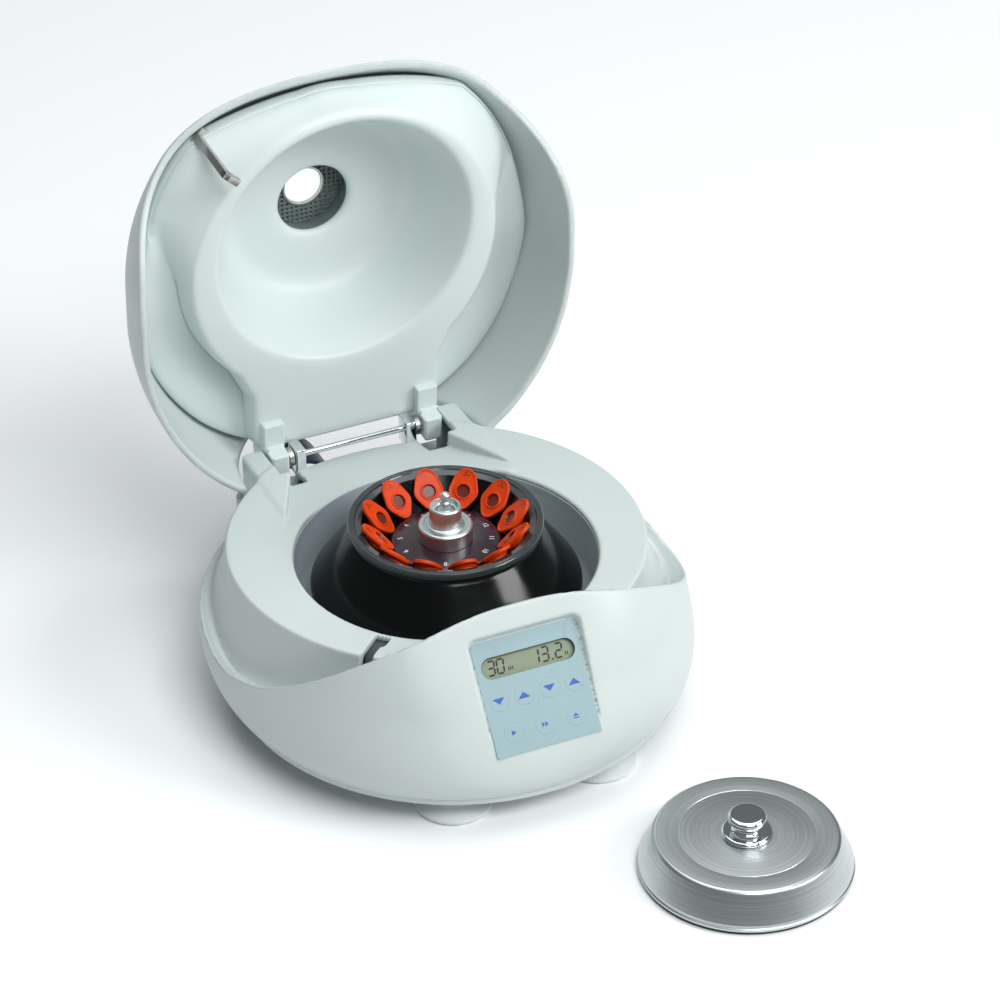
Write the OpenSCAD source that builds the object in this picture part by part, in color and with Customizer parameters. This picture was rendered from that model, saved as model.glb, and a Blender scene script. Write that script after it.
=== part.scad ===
// Bench-top microcentrifuge with a hinged dome lid and a 12-place fixed-angle rotor.
// Origin: on the table under the rotor axis. +Z up, keypad towards -Y, hinge towards +Y.
// The lid parts are drawn closed and then turned about the hinge rod to stand open.

/* [Housing] */
// Radius of the housing at its widest, about its own centre
body_r = 112; // [111:0.5:113]
// How far the housing's centre lies behind the rotor axis
body_y = 3; // [2:0.5:4]
// Height of the flat deck round the bowl
deck_z = 71.9; // [71.5:0.1:72.5]
// Radius of the deck drum at its top edge
drum_r = 96; // [95:0.5:97]
// Height of the outer wall at the sides, where the lid skirt lands
ledge_z = 47; // [46:0.5:48]
// Height of the front wall above the keypad
front_z = 92; // [91:0.5:93]
// Wall thickness of the moulded shells
wall = 2.6; // [2.4:0.1:2.8]

/* [Bowl and rotor] */
// Radius of the bowl opening
bowl_r = 69; // [68.5:0.1:69]
// Radius of the rotor's top rim
rim_r = 44.5; // [44.2:0.1:44.8]
// Largest radius of the rotor
rotor_r = 62; // [61.5:0.1:62.5]
// Number of tube places
tube_count = 12; // [6:1:12]
// Radius of the circle on which the tubes cross the seat
tube_circle_r = 32.5; // [32.3:0.1:32.7]

/* [Lid] */
// Distance of the hinge rod behind the rotor axis
hinge_y = 108.5; // [108:0.1:109]
// Height of the hinge rod
hinge_z = 66.8; // [66.5:0.1:67]
// How far the lid stands open, in degrees
open_angle = 87; // [85:0.5:87]
// Radius of the lid dome at its sides
dome_r = 107.5; // [107:0.1:108]
// Height of the closed lid
closed_h = 130; // [129:0.5:131]
// Radius of the round dish in the lid liner
dish_r = 64.6; // [64:0.1:65]
// Radius of the window hole in the liner
window_r = 19.4; // [19:0.1:20]

/* [Rotor lid] */
// Outer radius of the loose rotor lid
cover_r = 47.5; // [47:0.1:48]
// Height of its flat top
cover_h = 18.2; // [18:0.1:18.5]
// Where it lies beside the machine, to the right
cover_x = 61; // [60:1:64]
// Where it lies in front of the rotor axis
cover_y = 180.5; // [180:0.5:184]

/* [Keypad] */
// Width of the keypad foil
pad_w = 50; // [49.5:0.5:50.5]
// Length of the keypad foil along its slope
pad_l = 51.4; // [51:0.2:51.6]
// Slope of the keypad foil from horizontal, in degrees
pad_slope = 54; // [53.5:0.5:54.5]
// Travel of one key
key_travel = 0.4; // [0.3:0.1:0.5]

/* [Hidden] */

$fn = 96;
eps = 0.01;
big = 400;
fit = 0.1;

// Colours of the real materials
shell_white = [0.84, 0.88, 0.88];
bowl_blue = [0.56, 0.64, 0.69];
foil_blue = [0.69, 0.81, 0.84];
rotor_black = [0.06, 0.06, 0.07];
plum = [0.20, 0.09, 0.17];
tube_orange = [0.93, 0.36, 0.08];
steel = [0.70, 0.71, 0.71];
board_green = [0.09, 0.35, 0.22];
dark_grey = [0.22, 0.25, 0.28];
brass = [0.72, 0.60, 0.32];
pale_rubber = [0.86, 0.88, 0.87];

// Housing: heights of its underside and of the plate that closes it
plate_z = 13;
plate_t = 3;
skirt_z = plate_z + plate_t;
floor_z = skirt_z;
// The main wall is plain up to dome_base and then curves in like a quarter ellipse
dome_base = 37;
dome_rise = 93;
dome_top = 100;
// The chin is the lower front of the housing, which stands forward of the main wall
chin_y = -9.5;
chin_r = 108.2;
// The sloping face that carries the keypad passes through this point
face_y = -82.5;
face_z = 83.8;
face_slope = 58.4;
// Deck drum, the shallow arc behind the front wall and the ledge that follows the outer wall
drum_y = 11;
drum_base_r = 104;
front_arc_r = 215;
front_arc_y = front_arc_r - 74;
ledge_w = 8;
ear_x = 43;
ear_w = 24;
ear_back = 113;
rear_block_w = 114;
rear_y = 122;
notch_in = 31;
notch_out = 44.5;
notch_front = 89;
screw_places = [[71, -68], [-71, -68], [71, 82], [-71, 82]];

// Keypad layout on the foil: x across, y down the slope from its top edge
pad_top_y = -80.9;
pad_top_z = 79.3;
foil_t = 0.5;
tray_t = 2;
key_r = 4.6;
arrow_x = [-18, -6.2, 6.2, 18];
arrow_y = -27.1;
lower_x = [-15, 0, 15];
lower_y = -41.9;
lcd_w = 45;
lcd_h = 9.6;
lcd_y = -12.4;

// Motor and shaft
bowl_floor_z = 38;
collar_z = 64.6;
boss_r = 29;
boss_z = 55;
motor_r = 25;
motor_low = 21;
motor_top = 49;
shaft_r = 4;
stud_r = 2.4;
stud_top = 103.4;

// Rotor heights
rim_z = 89;
waist_z = 57;
seat_low_r = 27;
seat_low_z = 76.5;
seat_high_r = 38;
hub_low = 58;
disc_top = 79;
nut_collar_r = 12.5;
nut_collar_top = 86.8;
nut_top_r = 7.3;
nut_top = 96.4;
bore_r = 5.6;
bore_straight = 16;
bore_depth = 37.5;
tube_angle = 45;

// Lid: the middle of the rear half lies behind the middle of the front half
dome_front_y = 6;
dome_rear_y = 22;
dome_low = 40;
dome_mid = 50;
dome_power = 2.75;
lid_rear_y = 122;
liner_y = 14;
liner_r = 92;
liner_z = 88;
boss_low = 72.6;
dish_top = 113;
dish_floor_r = 46;
arch_r = 60;
arch_z = 50;
rod_r = 1.5;
rod_half = 46;
barrel_r = 7.5;
hook_angle = 47;
hook_top = 97.8;
hook_y = -86.1;
screw_r = 1.6;
rotor_turn = 20.7;

// Rear connections
inlet_x = -21;
inlet_z = 31;
inlet_w = 28;
inlet_h = 20;
switch_x = 23.5;
switch_z = 31;
switch_w = 27;
switch_h = 14;

function dome_points(r) = [for (i = [0 : 14]) let (z = dome_base + (dome_top - dome_base) * i / 14)
  [r * sqrt(1 - pow((z - dome_base) / dome_rise, 2)), z]];

// Height of the wavy wall edge, seen from the front
function wave_z(x) = ledge_z + (front_z - ledge_z) * max(0, 1 - pow(abs(x) / body_r, 2.4));

// ---------------------------------------------------------------- housing

module wall_solid(inset) {
  translate([0, body_y, 0])
    rotate_extrude()
      polygon(concat([[0, skirt_z], [104 - inset, skirt_z], [108.5 - inset, 20], [111 - inset, 27]],
        dome_points(body_r - inset), [[0, dome_top]]));
}

module chin_solid(inset) {
  translate([0, chin_y, 0])
    rotate_extrude()
      polygon([[0, skirt_z], [103.5 - inset, skirt_z], [107 - inset, 19.5], [chin_r - inset, 25],
        [chin_r - inset, 31], [chin_r - 8 - inset, 48], [0, 48]]);
}

// Everything behind the sloping keypad face, moved back by inset
module behind_face(inset) {
  translate([-big / 2, face_y, face_z])
    rotate([face_slope, 0, 0])
      translate([0, -big / 2, -big - inset])
        cube([big, big, big]);
}

// Everything below the wavy wall edge, lowered by drop
module below_wave(drop) {
  rotate([90, 0, 0])
    linear_extrude(height = 160)
      polygon(concat([[-130, 0], [-130, ledge_z - drop]],
        [for (x = [-112 : 4 : 112]) [x, wave_z(x) - drop]], [[130, ledge_z - drop], [130, 0]]));
  translate([-130, -eps, 0])
    cube([260, 160, ledge_z - drop]);
}

module outer_form(inset, drop) {
  intersection() {
    union() {
      wall_solid(inset);
      chin_solid(inset);
      translate([inset - rear_block_w / 2, 60, skirt_z])
        cube([rear_block_w - 2 * inset, rear_y - 60 - inset, 60]);
    }
    behind_face(inset);
    below_wave(drop);
  }
}

module drum_form(inset, low, top) {
  translate([0, drum_y, low])
    cylinder(h = top - low, r1 = drum_base_r - inset, r2 = drum_r - inset);
}

// The space behind the front wall, over the ledge and the deck
module behind_front_wall(grow, low) {
  intersection() {
    translate([0, body_y, 0])
      rotate_extrude()
        polygon(concat([[0, low], [body_r - ledge_w + grow, low]],
          dome_points(body_r - ledge_w + grow), [[0, dome_top]]));
    translate([0, front_arc_y, low])
      cylinder(h = dome_top - low, r = front_arc_r + grow);
  }
}

module ears(inset) {
  for (side = [-1, 1])
    translate([side * ear_x - ear_w / 2 + inset, 60, skirt_z])
      cube([ear_w - 2 * inset, ear_back - 60 - inset, deck_z - skirt_z - inset]);
}

// The deck falls away to the rear between the ears
module rear_valley(grow) {
  inner = notch_in + grow;
  intersection() {
    translate([0, 0, 40])
      linear_extrude(height = 60)
        polygon([[-57 - grow, 52 - grow], [57 + grow, 52 - grow], [inner, 107], [inner, 150],
          [-inner, 150], [-inner, 107]]);
    translate([-70, 52, deck_z - grow])
      rotate([-11.5, 0, 0])
        translate([0, -20, 0])
          cube([140, 120, 60]);
  }
}

module keypad_place() {
  translate([0, pad_top_y, pad_top_z])
    rotate([pad_slope, 0, 0])
      children();
}

module stadium(w, h, t) {
  for (side = [-1, 1])
    translate([side * (w - h) / 2, 0, 0])
      cylinder(h = t, d = h);
  translate([(h - w) / 2, -h / 2, 0])
    cube([w - h, h, t]);
}

// Slot in the deck for the lid hook: a long cut with a foot at its inner end
module hook_slot() {
  rotate([0, 0, -hook_angle])
    translate([0, -bowl_r - 1, deck_z]) {
      translate([-3.3, -20.5, -12])
        cube([6.2, 19, 13]);
      translate([-3.3, -9, -12])
        cube([7.7, 7.5, 13]);
    }
}

// Holes for the keys and the display, through foil, tray and wall
module keypad_holes(r, grow) {
  keypad_place() {
    for (x = arrow_x)
      translate([x, arrow_y, -10])
        cylinder(h = 20, r = r);
    for (x = lower_x)
      translate([x, lower_y, -10])
        cylinder(h = 20, r = r);
    translate([0, lcd_y, -10])
      stadium(lcd_w + grow, lcd_h + grow, 20);
  }
}

module keypad_tray() {
  difference() {
    intersection() {
      outer_form(0, 0);
      keypad_place()
        translate([-pad_w / 2 - 4, -pad_l - 4, -foil_t - tray_t])
          cube([pad_w + 8, pad_l + 9, tray_t]);
    }
    keypad_holes(key_r, 1);
  }
}

module screw_posts() {
  for (place = screw_places)
    translate([place[0], place[1], skirt_z])
      cylinder(h = ledge_z - 1 - skirt_z, r = 4.2);
}

// Everything that is hollow inside the housing
module housing_hollow() {
  difference() {
    union() {
      difference() {
        translate([0, 0, -eps])
          outer_form(wall, wall);
        behind_front_wall(wall, ledge_z + 1 - wall);
      }
      drum_form(wall, ledge_z - 8, deck_z - wall);
      ears(wall);
    }
    rear_valley(wall);
    screw_posts();
    // collar round the bowl opening
    translate([0, 0, collar_z])
      cylinder(h = deck_z - collar_z, r = bowl_r + wall);
  }
}

module housing() {
  color(shell_white) {
    difference() {
      union() {
        difference() {
          outer_form(0, 0);
          behind_front_wall(0, ledge_z + 1);
        }
        drum_form(0, ledge_z - 4, deck_z);
        ears(0);
      }
      housing_hollow();
      translate([0, 0, deck_z - 10])
        cylinder(h = 40, r = bowl_r);
      rear_valley(0);
      keypad_place()
        translate([-pad_w / 2 - 0.8, -pad_l - 0.4, -foil_t])
          cube([pad_w + 1.6, pad_l + 1.2, 14]);
      keypad_holes(key_r, 1);
      hook_slot();
      for (side = [-1, 1])
        translate([side * (notch_in + notch_out) / 2 - (notch_out - notch_in) / 2, notch_front, ledge_z + 0.5])
          cube([notch_out - notch_in, 40, 40]);
      translate([-rod_half - 0.2, hinge_y, hinge_z])
        rotate([0, 90, 0])
          cylinder(h = 2 * rod_half + 0.4, r = rod_r + 0.02);
      rear_openings();
      for (place = screw_places)
        translate([place[0], place[1], skirt_z - 1])
          cylinder(h = 16, r = screw_r + 0.02);
    }
    keypad_tray();
  }
}

// Openings in the rear wall for the mains inlet and the power switch
module rear_openings() {
  translate([inlet_x - inlet_w / 2, 110, inlet_z - inlet_h / 2])
    cube([inlet_w, 20, inlet_h]);
  translate([switch_x - switch_w / 2, 110, switch_z - switch_h / 2])
    cube([switch_w, 20, switch_h]);
}

module base_plate() {
  color(shell_white)
    difference() {
      union() {
        translate([0, body_y, plate_z])
          cylinder(h = plate_t, r = 103.4);
        translate([0, chin_y, plate_z])
          cylinder(h = plate_t, r = 102.8);
        translate([-50, 90, plate_z])
          cube([100, 31, plate_t]);
      }
      for (place = screw_places)
        translate([place[0], place[1], 0])
          cylinder(h = 30, r = screw_r + 0.3);
      // cooling slots under the motor
      for (i = [-3 : 3])
        translate([i * 8 - 1.5, -62, 0])
          cube([3, 26, 30]);
    }
}

module base_screws() {
  color(steel)
    for (place = screw_places)
      translate([place[0], place[1], plate_z - 2]) {
        cylinder(h = 2, r = 3.4);
        cylinder(h = 14, r = screw_r);
      }
}

module feet() {
  color(pale_rubber)
    for (place = [[35.5, -85.8], [-35.5, -85.8], [56, 70], [-56, 70]])
      translate([place[0], place[1], 0])
        rotate_extrude()
          polygon([[0, 0], [17, 0], [17.6, 1], [17.6, 2.2], [10, 5.5], [9, 8], [9, plate_z], [0, plate_z]]);
}

// ---------------------------------------------------------------- bowl and drive

module bowl() {
  top = collar_z - 0.1;
  color(bowl_blue)
    rotate_extrude()
      polygon([[bowl_r, top], [72.4, top], [72.4, top - 2], [bowl_r + 1.6, top - 2], [bowl_r + 1.6, 45],
        [67, 40], [62, bowl_floor_z - 0.6], [boss_r - 0.6, bowl_floor_z - 0.6], [boss_r - 0.6, boss_z],
        [9, boss_z], [9, boss_z + 1.6], [boss_r + 1, boss_z + 1.6], [boss_r + 1, bowl_floor_z + 1],
        [61.5, bowl_floor_z + 1], [66, 41.5], [bowl_r, 46]]);
}

module shaft_seal() {
  color(dark_grey)
    rotate_extrude()
      polygon([[shaft_r + fit, 53.5], [9, 53.5], [9, boss_z + 1.6], [6.5, boss_z + 2.4],
        [shaft_r + fit, boss_z + 2.4]]);
}

module motor_case() {
  color(dark_grey)
    rotate_extrude()
      polygon([[0, motor_low - 1.5], [12, motor_low - 1.5], [motor_r, motor_low + 2], [motor_r, motor_top],
        [8, motor_top], [8, motor_top - 4.5], [motor_r - 2, motor_top - 4.5], [motor_r - 2, motor_low + 6],
        [8, motor_low + 6], [8, motor_low + 1.5], [0, motor_low + 1.5]]);
}

module motor_stator() {
  color(brass)
    difference() {
      translate([0, 0, motor_low + 7])
        cylinder(h = 15, r = motor_r - 2);
      translate([0, 0, motor_low])
        cylinder(h = 40, r = 13.2);
    }
}

module motor_flange() {
  color(steel)
    difference() {
      translate([0, 0, 30])
        cylinder(h = 3, r = 52);
      translate([0, 0, 29])
        cylinder(h = 5, r = motor_r);
      for (a = [90, 210, 330])
        rotate([0, 0, a])
          translate([44, 0, 29])
            cylinder(h = 5, r = 2.2);
    }
}

module motor_dampers() {
  color(dark_grey)
    for (a = [90, 210, 330])
      rotate([0, 0, a])
        translate([44, 0, floor_z])
          rotate_extrude()
            polygon([[0, 0], [7, 0], [7, 2], [5.6, 7], [7, 12], [7, 14], [2.1, 14], [2.1, 20], [0, 20]]);
}

module bearing(low) {
  translate([0, 0, low])
    rotate_extrude()
      polygon([[shaft_r + 0.02, 0], [8, 0], [8, 4.5], [shaft_r + 0.02, 4.5]]);
}

module shaft_bearings() {
  color(steel) {
    bearing(motor_low + 1.5);
    bearing(motor_top - 4.5);
  }
}

module motor_shaft() {
  color(steel)
    rotate_extrude()
      polygon([[0, motor_low + 1.7], [shaft_r, motor_low + 1.7], [shaft_r, 29], [12.4, 29], [12.4, 42],
        [shaft_r, 42], [shaft_r, hub_low - 0.6], [7.5, hub_low - 0.6 + 0.3], [7.5, hub_low], [shaft_r, hub_low],
        [shaft_r, 94], [stud_r, 94.6], [stud_r, 98.2], [1.7, 98.8], [1.7, 99.6], [2.2, 100.4], [2.3, 101.4],
        [1.9, 102.6], [1.0, 103.2], [0, stud_top]]);
}

// ---------------------------------------------------------------- rotor

// Tube frame: z runs down the tube, -x points up the seat towards the rim
module tube_place(i) {
  rotate([0, 0, rotor_turn + i * 360 / tube_count])
    translate([tube_circle_r, 0, seat_low_z + tube_circle_r - seat_low_r])
      rotate([0, 180 - tube_angle, 0])
        children();
}

module rotor_body() {
  color(rotor_black)
    difference() {
      rotate_extrude()
        polygon([[shaft_r + 0.03, hub_low], [32, hub_low], [49, 47], [58, 47.6], [61, 50], [rotor_r, 53.5],
          [rotor_r, waist_z], [43.6, 82.6], [42.8, 83.6], [42.8, 84.6], [rim_r, 85.6], [rim_r, rim_z - 0.6],
          [rim_r - 0.6, rim_z], [41.4, rim_z], [40.8, rim_z - 0.8],
          [seat_high_r, seat_low_z + seat_high_r - seat_low_r], [seat_low_r, seat_low_z],
          [shaft_r + 0.03, seat_low_z]]);
      for (i = [0 : tube_count - 1])
        tube_place(i) {
          translate([0, 0, -8])
            cylinder(h = 8 + bore_straight, r = bore_r);
          translate([0, 0, bore_straight - eps])
            cylinder(h = bore_depth - bore_straight, r1 = bore_r, r2 = 2.1);
        }
    }
}

module rotor_disc() {
  color(plum)
    rotate_extrude()
      polygon([[shaft_r + 0.2, seat_low_z], [25.2, seat_low_z], [25.2, 77.6], [24.4, 78.2], [13, disc_top],
        [shaft_r + 0.2, disc_top]]);
}

module sample_tubes() {
  color(tube_orange)
    for (i = [0 : tube_count - 1])
      tube_place(i) {
        translate([0, 0, -0.7])
          cylinder(h = bore_straight + 0.7, r = bore_r - 0.15);
        translate([0, 0, bore_straight - eps])
          cylinder(h = bore_depth - bore_straight - 1, r1 = bore_r - 0.15, r2 = 2);
        translate([0, 0, -1.1])
          cylinder(h = 0.5, r = 6.2);
        // cap with its hinge lug towards the rim and thumb tab towards the nut
        translate([0, 0, -3.4])
          linear_extrude(height = 2.4 + eps)
            union() {
              circle(r = 6.6);
              polygon([[0, -6.4], [-10.6, -3.6], [-10.6, 3.6], [0, 6.4]]);
              polygon([[0, -6.4], [7.4, -1.6], [7.4, 1.6], [0, 6.4]]);
            }
      }
}

module rotor_nut() {
  color(steel)
    rotate_extrude()
      polygon([[shaft_r + fit, disc_top], [nut_collar_r, disc_top], [nut_collar_r, nut_collar_top - 0.6],
        [nut_collar_r - 0.6, nut_collar_top], [8.6, nut_collar_top], [nut_top_r, nut_collar_top + 0.8],
        [nut_top_r, nut_top - 0.5], [nut_top_r - 0.5, nut_top], [5.8, nut_top], [5.4, nut_top - 2.2],
        [shaft_r + fit, nut_top - 2.2]]);
}

module speed_sensor() {
  color(board_green)
    translate([-7, -5, floor_z])
      cube([14, 10, 2.6]);
}

// ---------------------------------------------------------------- electrics

module board_posts() {
  color(brass)
    for (x = [-42, 42], y = [60, 92])
      translate([x, y, floor_z])
        cylinder(h = 6, r = 3);
}

module power_board() {
  color(board_green)
    translate([-48, 56, floor_z + 6])
      cube([96, 40, 1.6]);
  color(dark_grey) {
    for (x = [12, 26, 39])
      translate([x, 66, floor_z + 7.6])
        cylinder(h = 11, r = 5.5);
    translate([6, 80, floor_z + 7.6])
      cube([34, 3, 12]);
  }
}

module transformer() {
  color(brass)
    translate([-40, 62, floor_z + 7.6])
      difference() {
        cube([36, 28, 12]);
        translate([7, -1, 5])
          cube([22, 4, 8]);
      }
}

module mains_inlet() {
  color(dark_grey)
    translate([inlet_x, rear_y, inlet_z]) {
      difference() {
        union() {
          translate([-inlet_w / 2 - 2.5, 0, -inlet_h / 2 - 2])
            cube([inlet_w + 5, 2, inlet_h + 4]);
          translate([-inlet_w / 2 + fit, -18, -inlet_h / 2 + fit])
            cube([inlet_w - 2 * fit, 18, inlet_h - 2 * fit]);
        }
        translate([-12, -15, -7.5])
          cube([24, 30, 15]);
      }
      for (x = [-7, 0, 7])
        translate([x - 1, -16, x == 0 ? 1 : -2.5])
          cube([2, 15, 4]);
    }
}

// Half-round hood over the inlet
module inlet_hood() {
  color(dark_grey)
    translate([inlet_x, rear_y, inlet_z + 2])
      rotate([-90, 0, 0])
        difference() {
          cylinder(h = 26, r = 18.6);
          translate([0, 0, -1])
            cylinder(h = 28, r = 16.8);
          translate([-30, 0, -1])
            cube([60, 60, 40]);
          translate([-inlet_w / 2 - 2.6, -inlet_h, -1])
            cube([inlet_w + 5.2, 2 * inlet_h, 3.2]);
        }
}

module switch_frame() {
  color(dark_grey)
    translate([switch_x, rear_y, switch_z])
      difference() {
        union() {
          translate([-switch_w / 2 - 1.5, 0, -switch_h / 2 - 1.5])
            cube([switch_w + 3, 1.5, switch_h + 3]);
          translate([-switch_w / 2 + fit, -16, -switch_h / 2 + fit])
            cube([switch_w - 2 * fit, 16, switch_h - 2 * fit]);
        }
        translate([-11.4, -12, -5])
          cube([22.8, 20, 10]);
        translate([0, -4, -switch_h])
          cylinder(h = 2 * switch_h, r = 1.25);
      }
}

module power_rocker() {
  color(rotor_black)
    translate([switch_x, rear_y - 4, switch_z])
      rotate([0, 0, -8]) {
        translate([0, 0, -4.7])
          linear_extrude(height = 9.4)
            polygon([[-10.2, -3], [10.2, -3], [10.2, 3], [9.5, 6.5], [0, 4.6], [-9.5, 6.5], [-10.2, 3]]);
        translate([0, 0, -6])
          cylinder(h = 12, r = 1.2);
      }
}

// ---------------------------------------------------------------- keypad

module control_board() {
  color(board_green)
    keypad_place() {
      translate([-24, -50, -7.1])
        cube([48, 46, 1.6]);
      for (x = [-22.5, 22.5], y = [-48.5, -21])
        translate([x, y, -7.1])
          cylinder(h = 7.1 - foil_t - tray_t, r = 1.4);
      for (x = arrow_x)
        translate([x, arrow_y, -7.1])
          cylinder(h = 2.05, r = 2.4);
      for (x = lower_x)
        translate([x, lower_y, -7.1])
          cylinder(h = 2.05, r = 2.4);
    }
}

module display_module() {
  color([0.62, 0.66, 0.55])
    keypad_place()
      translate([-23.6, lcd_y - 6.5, -5.5])
        cube([47.2, 13, 3]);
}

module display_window() {
  color([0.85, 0.90, 0.88])
    keypad_place()
      translate([0, lcd_y, -foil_t - tray_t])
        stadium(lcd_w + 0.8, lcd_h + 0.8, tray_t);
}

module keypad_foil() {
  color(foil_blue)
    difference() {
      keypad_place()
        translate([-pad_w / 2, -pad_l, -foil_t])
          cube([pad_w, pad_l, foil_t]);
      keypad_holes(key_r, 0);
    }
}

module key(x, y) {
  color(foil_blue)
    keypad_place()
      translate([x, y, 0])
        rotate_extrude()
          polygon([[0, -5.05 + key_travel + 0.05], [2, -5.05 + key_travel + 0.05], [2, -1.6], [key_r - 0.2, -1.6],
            [key_r - 0.2, 0], [key_r - 1, 0.15], [0, 0.15]]);
}

module key_time_down() key(arrow_x[0], arrow_y);
module key_time_up() key(arrow_x[1], arrow_y);
module key_speed_down() key(arrow_x[2], arrow_y);
module key_speed_up() key(arrow_x[3], arrow_y);
module key_start() key(lower_x[0], lower_y);
module key_short() key(lower_x[1], lower_y);
module key_open() key(lower_x[2], lower_y);

// ---------------------------------------------------------------- hinge and lock

module along_hinge(x, length, r) {
  translate([x, hinge_y, hinge_z])
    rotate([0, 90, 0])
      cylinder(h = length, r = r);
}

module hinge_brackets() {
  color(steel)
    for (side = [-1, 1])
      difference() {
        union() {
          along_hinge(side < 0 ? -30.8 : 25.6, 5.2, 5.4);
          translate([side < 0 ? -30.8 : 25.6, hinge_y - 5.4, 56])
            cube([5.2, 10.8, hinge_z - 56]);
        }
        along_hinge(-60, 120, rod_r);
        rear_floor();
      }
}

// The sloping floor between the ears, which the brackets stand on
module rear_floor() {
  translate([-70, 52, deck_z])
    rotate([-11.5, 0, 0])
      translate([0, -20, -40])
        cube([140, 120, 40]);
}

module hinge_rod() {
  color(steel)
    along_hinge(-rod_half, 2 * rod_half, rod_r);
}

module hinge_washers() {
  color(brass)
    for (x = [-33.4, 31.2])
      difference() {
        along_hinge(x, 2.2, 4.6);
        along_hinge(-60, 120, rod_r);
      }
}

// Lock frame: -y runs outwards through the hook slot, x runs round the deck
module lock_place() {
  rotate([0, 0, -hook_angle])
    children();
}

module lock_frame() {
  color(steel)
    lock_place() {
      translate([-38, -84.5, 48.5])
        cube([46, 13, 1.6]);
      for (place = [[-36, -77], [-9, -74]])
        translate([place[0], place[1], 48.5])
          cylinder(h = deck_z - wall - 48.5, r = 1.6);
      translate([-33, -83.5, 50])
        cube([14, 11, 1.8]);
    }
}

module lock_slide() {
  color(brass)
    lock_place() {
      translate([-30, -82.2, 65.2])
        cube([25.4, 5.2, 3.4]);
      translate([-13, -80, 56])
        cube([2.4, 3, 10]);
      translate([-30.6, -78, 57.5])
        rotate([0, 90, 0])
          cylinder(h = 18.6, r = 1.5);
    }
}

module lock_solenoid() {
  color(dark_grey)
    lock_place()
      difference() {
        translate([-33, -78, 57.5])
          rotate([0, 90, 0])
            cylinder(h = 14, r = 5.7);
        translate([-32, -78, 57.5])
          rotate([0, 90, 0])
            cylinder(h = 20, r = 1.7);
      }
}

// ---------------------------------------------------------------- lid

// Turns a piece drawn in the closed position to where it stands open
module open_lid() {
  translate([0, hinge_y, hinge_z])
    rotate([-open_angle, 0, 0])
      translate([0, -hinge_y, -hinge_z])
        children();
}

function dome_edge(r, h, z) = r * pow(1 - pow(max(0, z - dome_mid) / (h - dome_mid), dome_power), 1 / dome_power);

function dome_profile(r, h) = concat([[0, dome_low], [r, dome_low]],
  [for (i = [0 : 24]) let (z = dome_mid + (h - dome_mid) * sin(i * 90 / 24)) [dome_edge(r, h, z), z]]);

module half_dome(r, h, y, turn) {
  translate([0, y, 0])
    rotate([0, 0, turn])
      rotate_extrude(angle = 180)
        polygon(dome_profile(r, h));
}

module dome_form(inset) {
  r = dome_r - inset;
  h = closed_h - inset;
  intersection() {
    union() {
      half_dome(r, h, dome_front_y, 180);
      half_dome(r, h, dome_rear_y, 0);
      translate([0, dome_rear_y, 0])
        rotate([90, 0, 0])
          linear_extrude(height = dome_rear_y - dome_front_y)
            union() {
              polygon(dome_profile(r, h));
              mirror([1, 0])
                polygon(dome_profile(r, h));
            }
    }
    behind_face(inset - 5.5);
  }
}

// Height of the lid's rim seen from the side: low along the sides, high in front
function lid_rim_z(y) = 53 - 4.7 * min(1, max(0, (y - 38) / 62)) + 44 / (1 + exp((y + 33) / 10.5));

module below_lid_rim() {
  translate([-130, 0, 0])
    rotate([90, 0, 90])
      linear_extrude(height = 260)
        polygon(concat([[140, 0]], [for (y = [140 : -5 : -130]) [y, lid_rim_z(y)]], [[-130, 0]]));
}

// The dome is open at the rear, where the hinge ears stand
module rear_arch() {
  translate([0, 60, arch_z])
    rotate([-90, 0, 0])
      cylinder(h = 100, r = arch_r);
  translate([-arch_r, 60, 0])
    cube([2 * arch_r, 100, arch_z]);
}

liner_posts = [[76, 10], [-76, 10], [56, 74], [-56, 74]];

module lid_shell() {
  color(shell_white)
    open_lid() {
      difference() {
        dome_form(0);
        dome_form(wall);
        below_lid_rim();
        rear_arch();
        translate([0, 0, closed_h - 20])
          cylinder(h = 40, r = 8.2);
      }
      intersection() {
        dome_form(wall / 2);
        union() {
          for (place = liner_posts)
            translate([place[0], place[1], liner_z + 2.4])
              cylinder(h = 60, r = 4);
          lock_place()
            translate([-5, hook_y, hook_top])
              cube([10, 18.1, 40]);
        }
      }
    }
}

module pear(inset, low, high) {
  translate([0, 0, low])
    linear_extrude(height = high - low)
      union() {
        circle(r = 73 - inset, $fn = 128);
        polygon([[-69 + inset, 22], [69 - inset, 22], [46 - inset, 74], [44.5 - inset, 104 - inset],
          [inset - 44.5, 104 - inset], [inset - 46, 74]]);
      }
}

module lid_arm(x) {
  along_hinge(x, 9, barrel_r);
  translate([x, hinge_y - barrel_r, 50])
    cube([9, 2 * barrel_r, hinge_z - 50]);
  translate([x, 92, boss_low])
    cube([9, hinge_y + barrel_r - 92, liner_z - boss_low + 2.4]);
  translate([x, hinge_y - barrel_r, hinge_z - 1])
    cube([9, 2 * barrel_r, boss_low - hinge_z + 2]);
}

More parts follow.
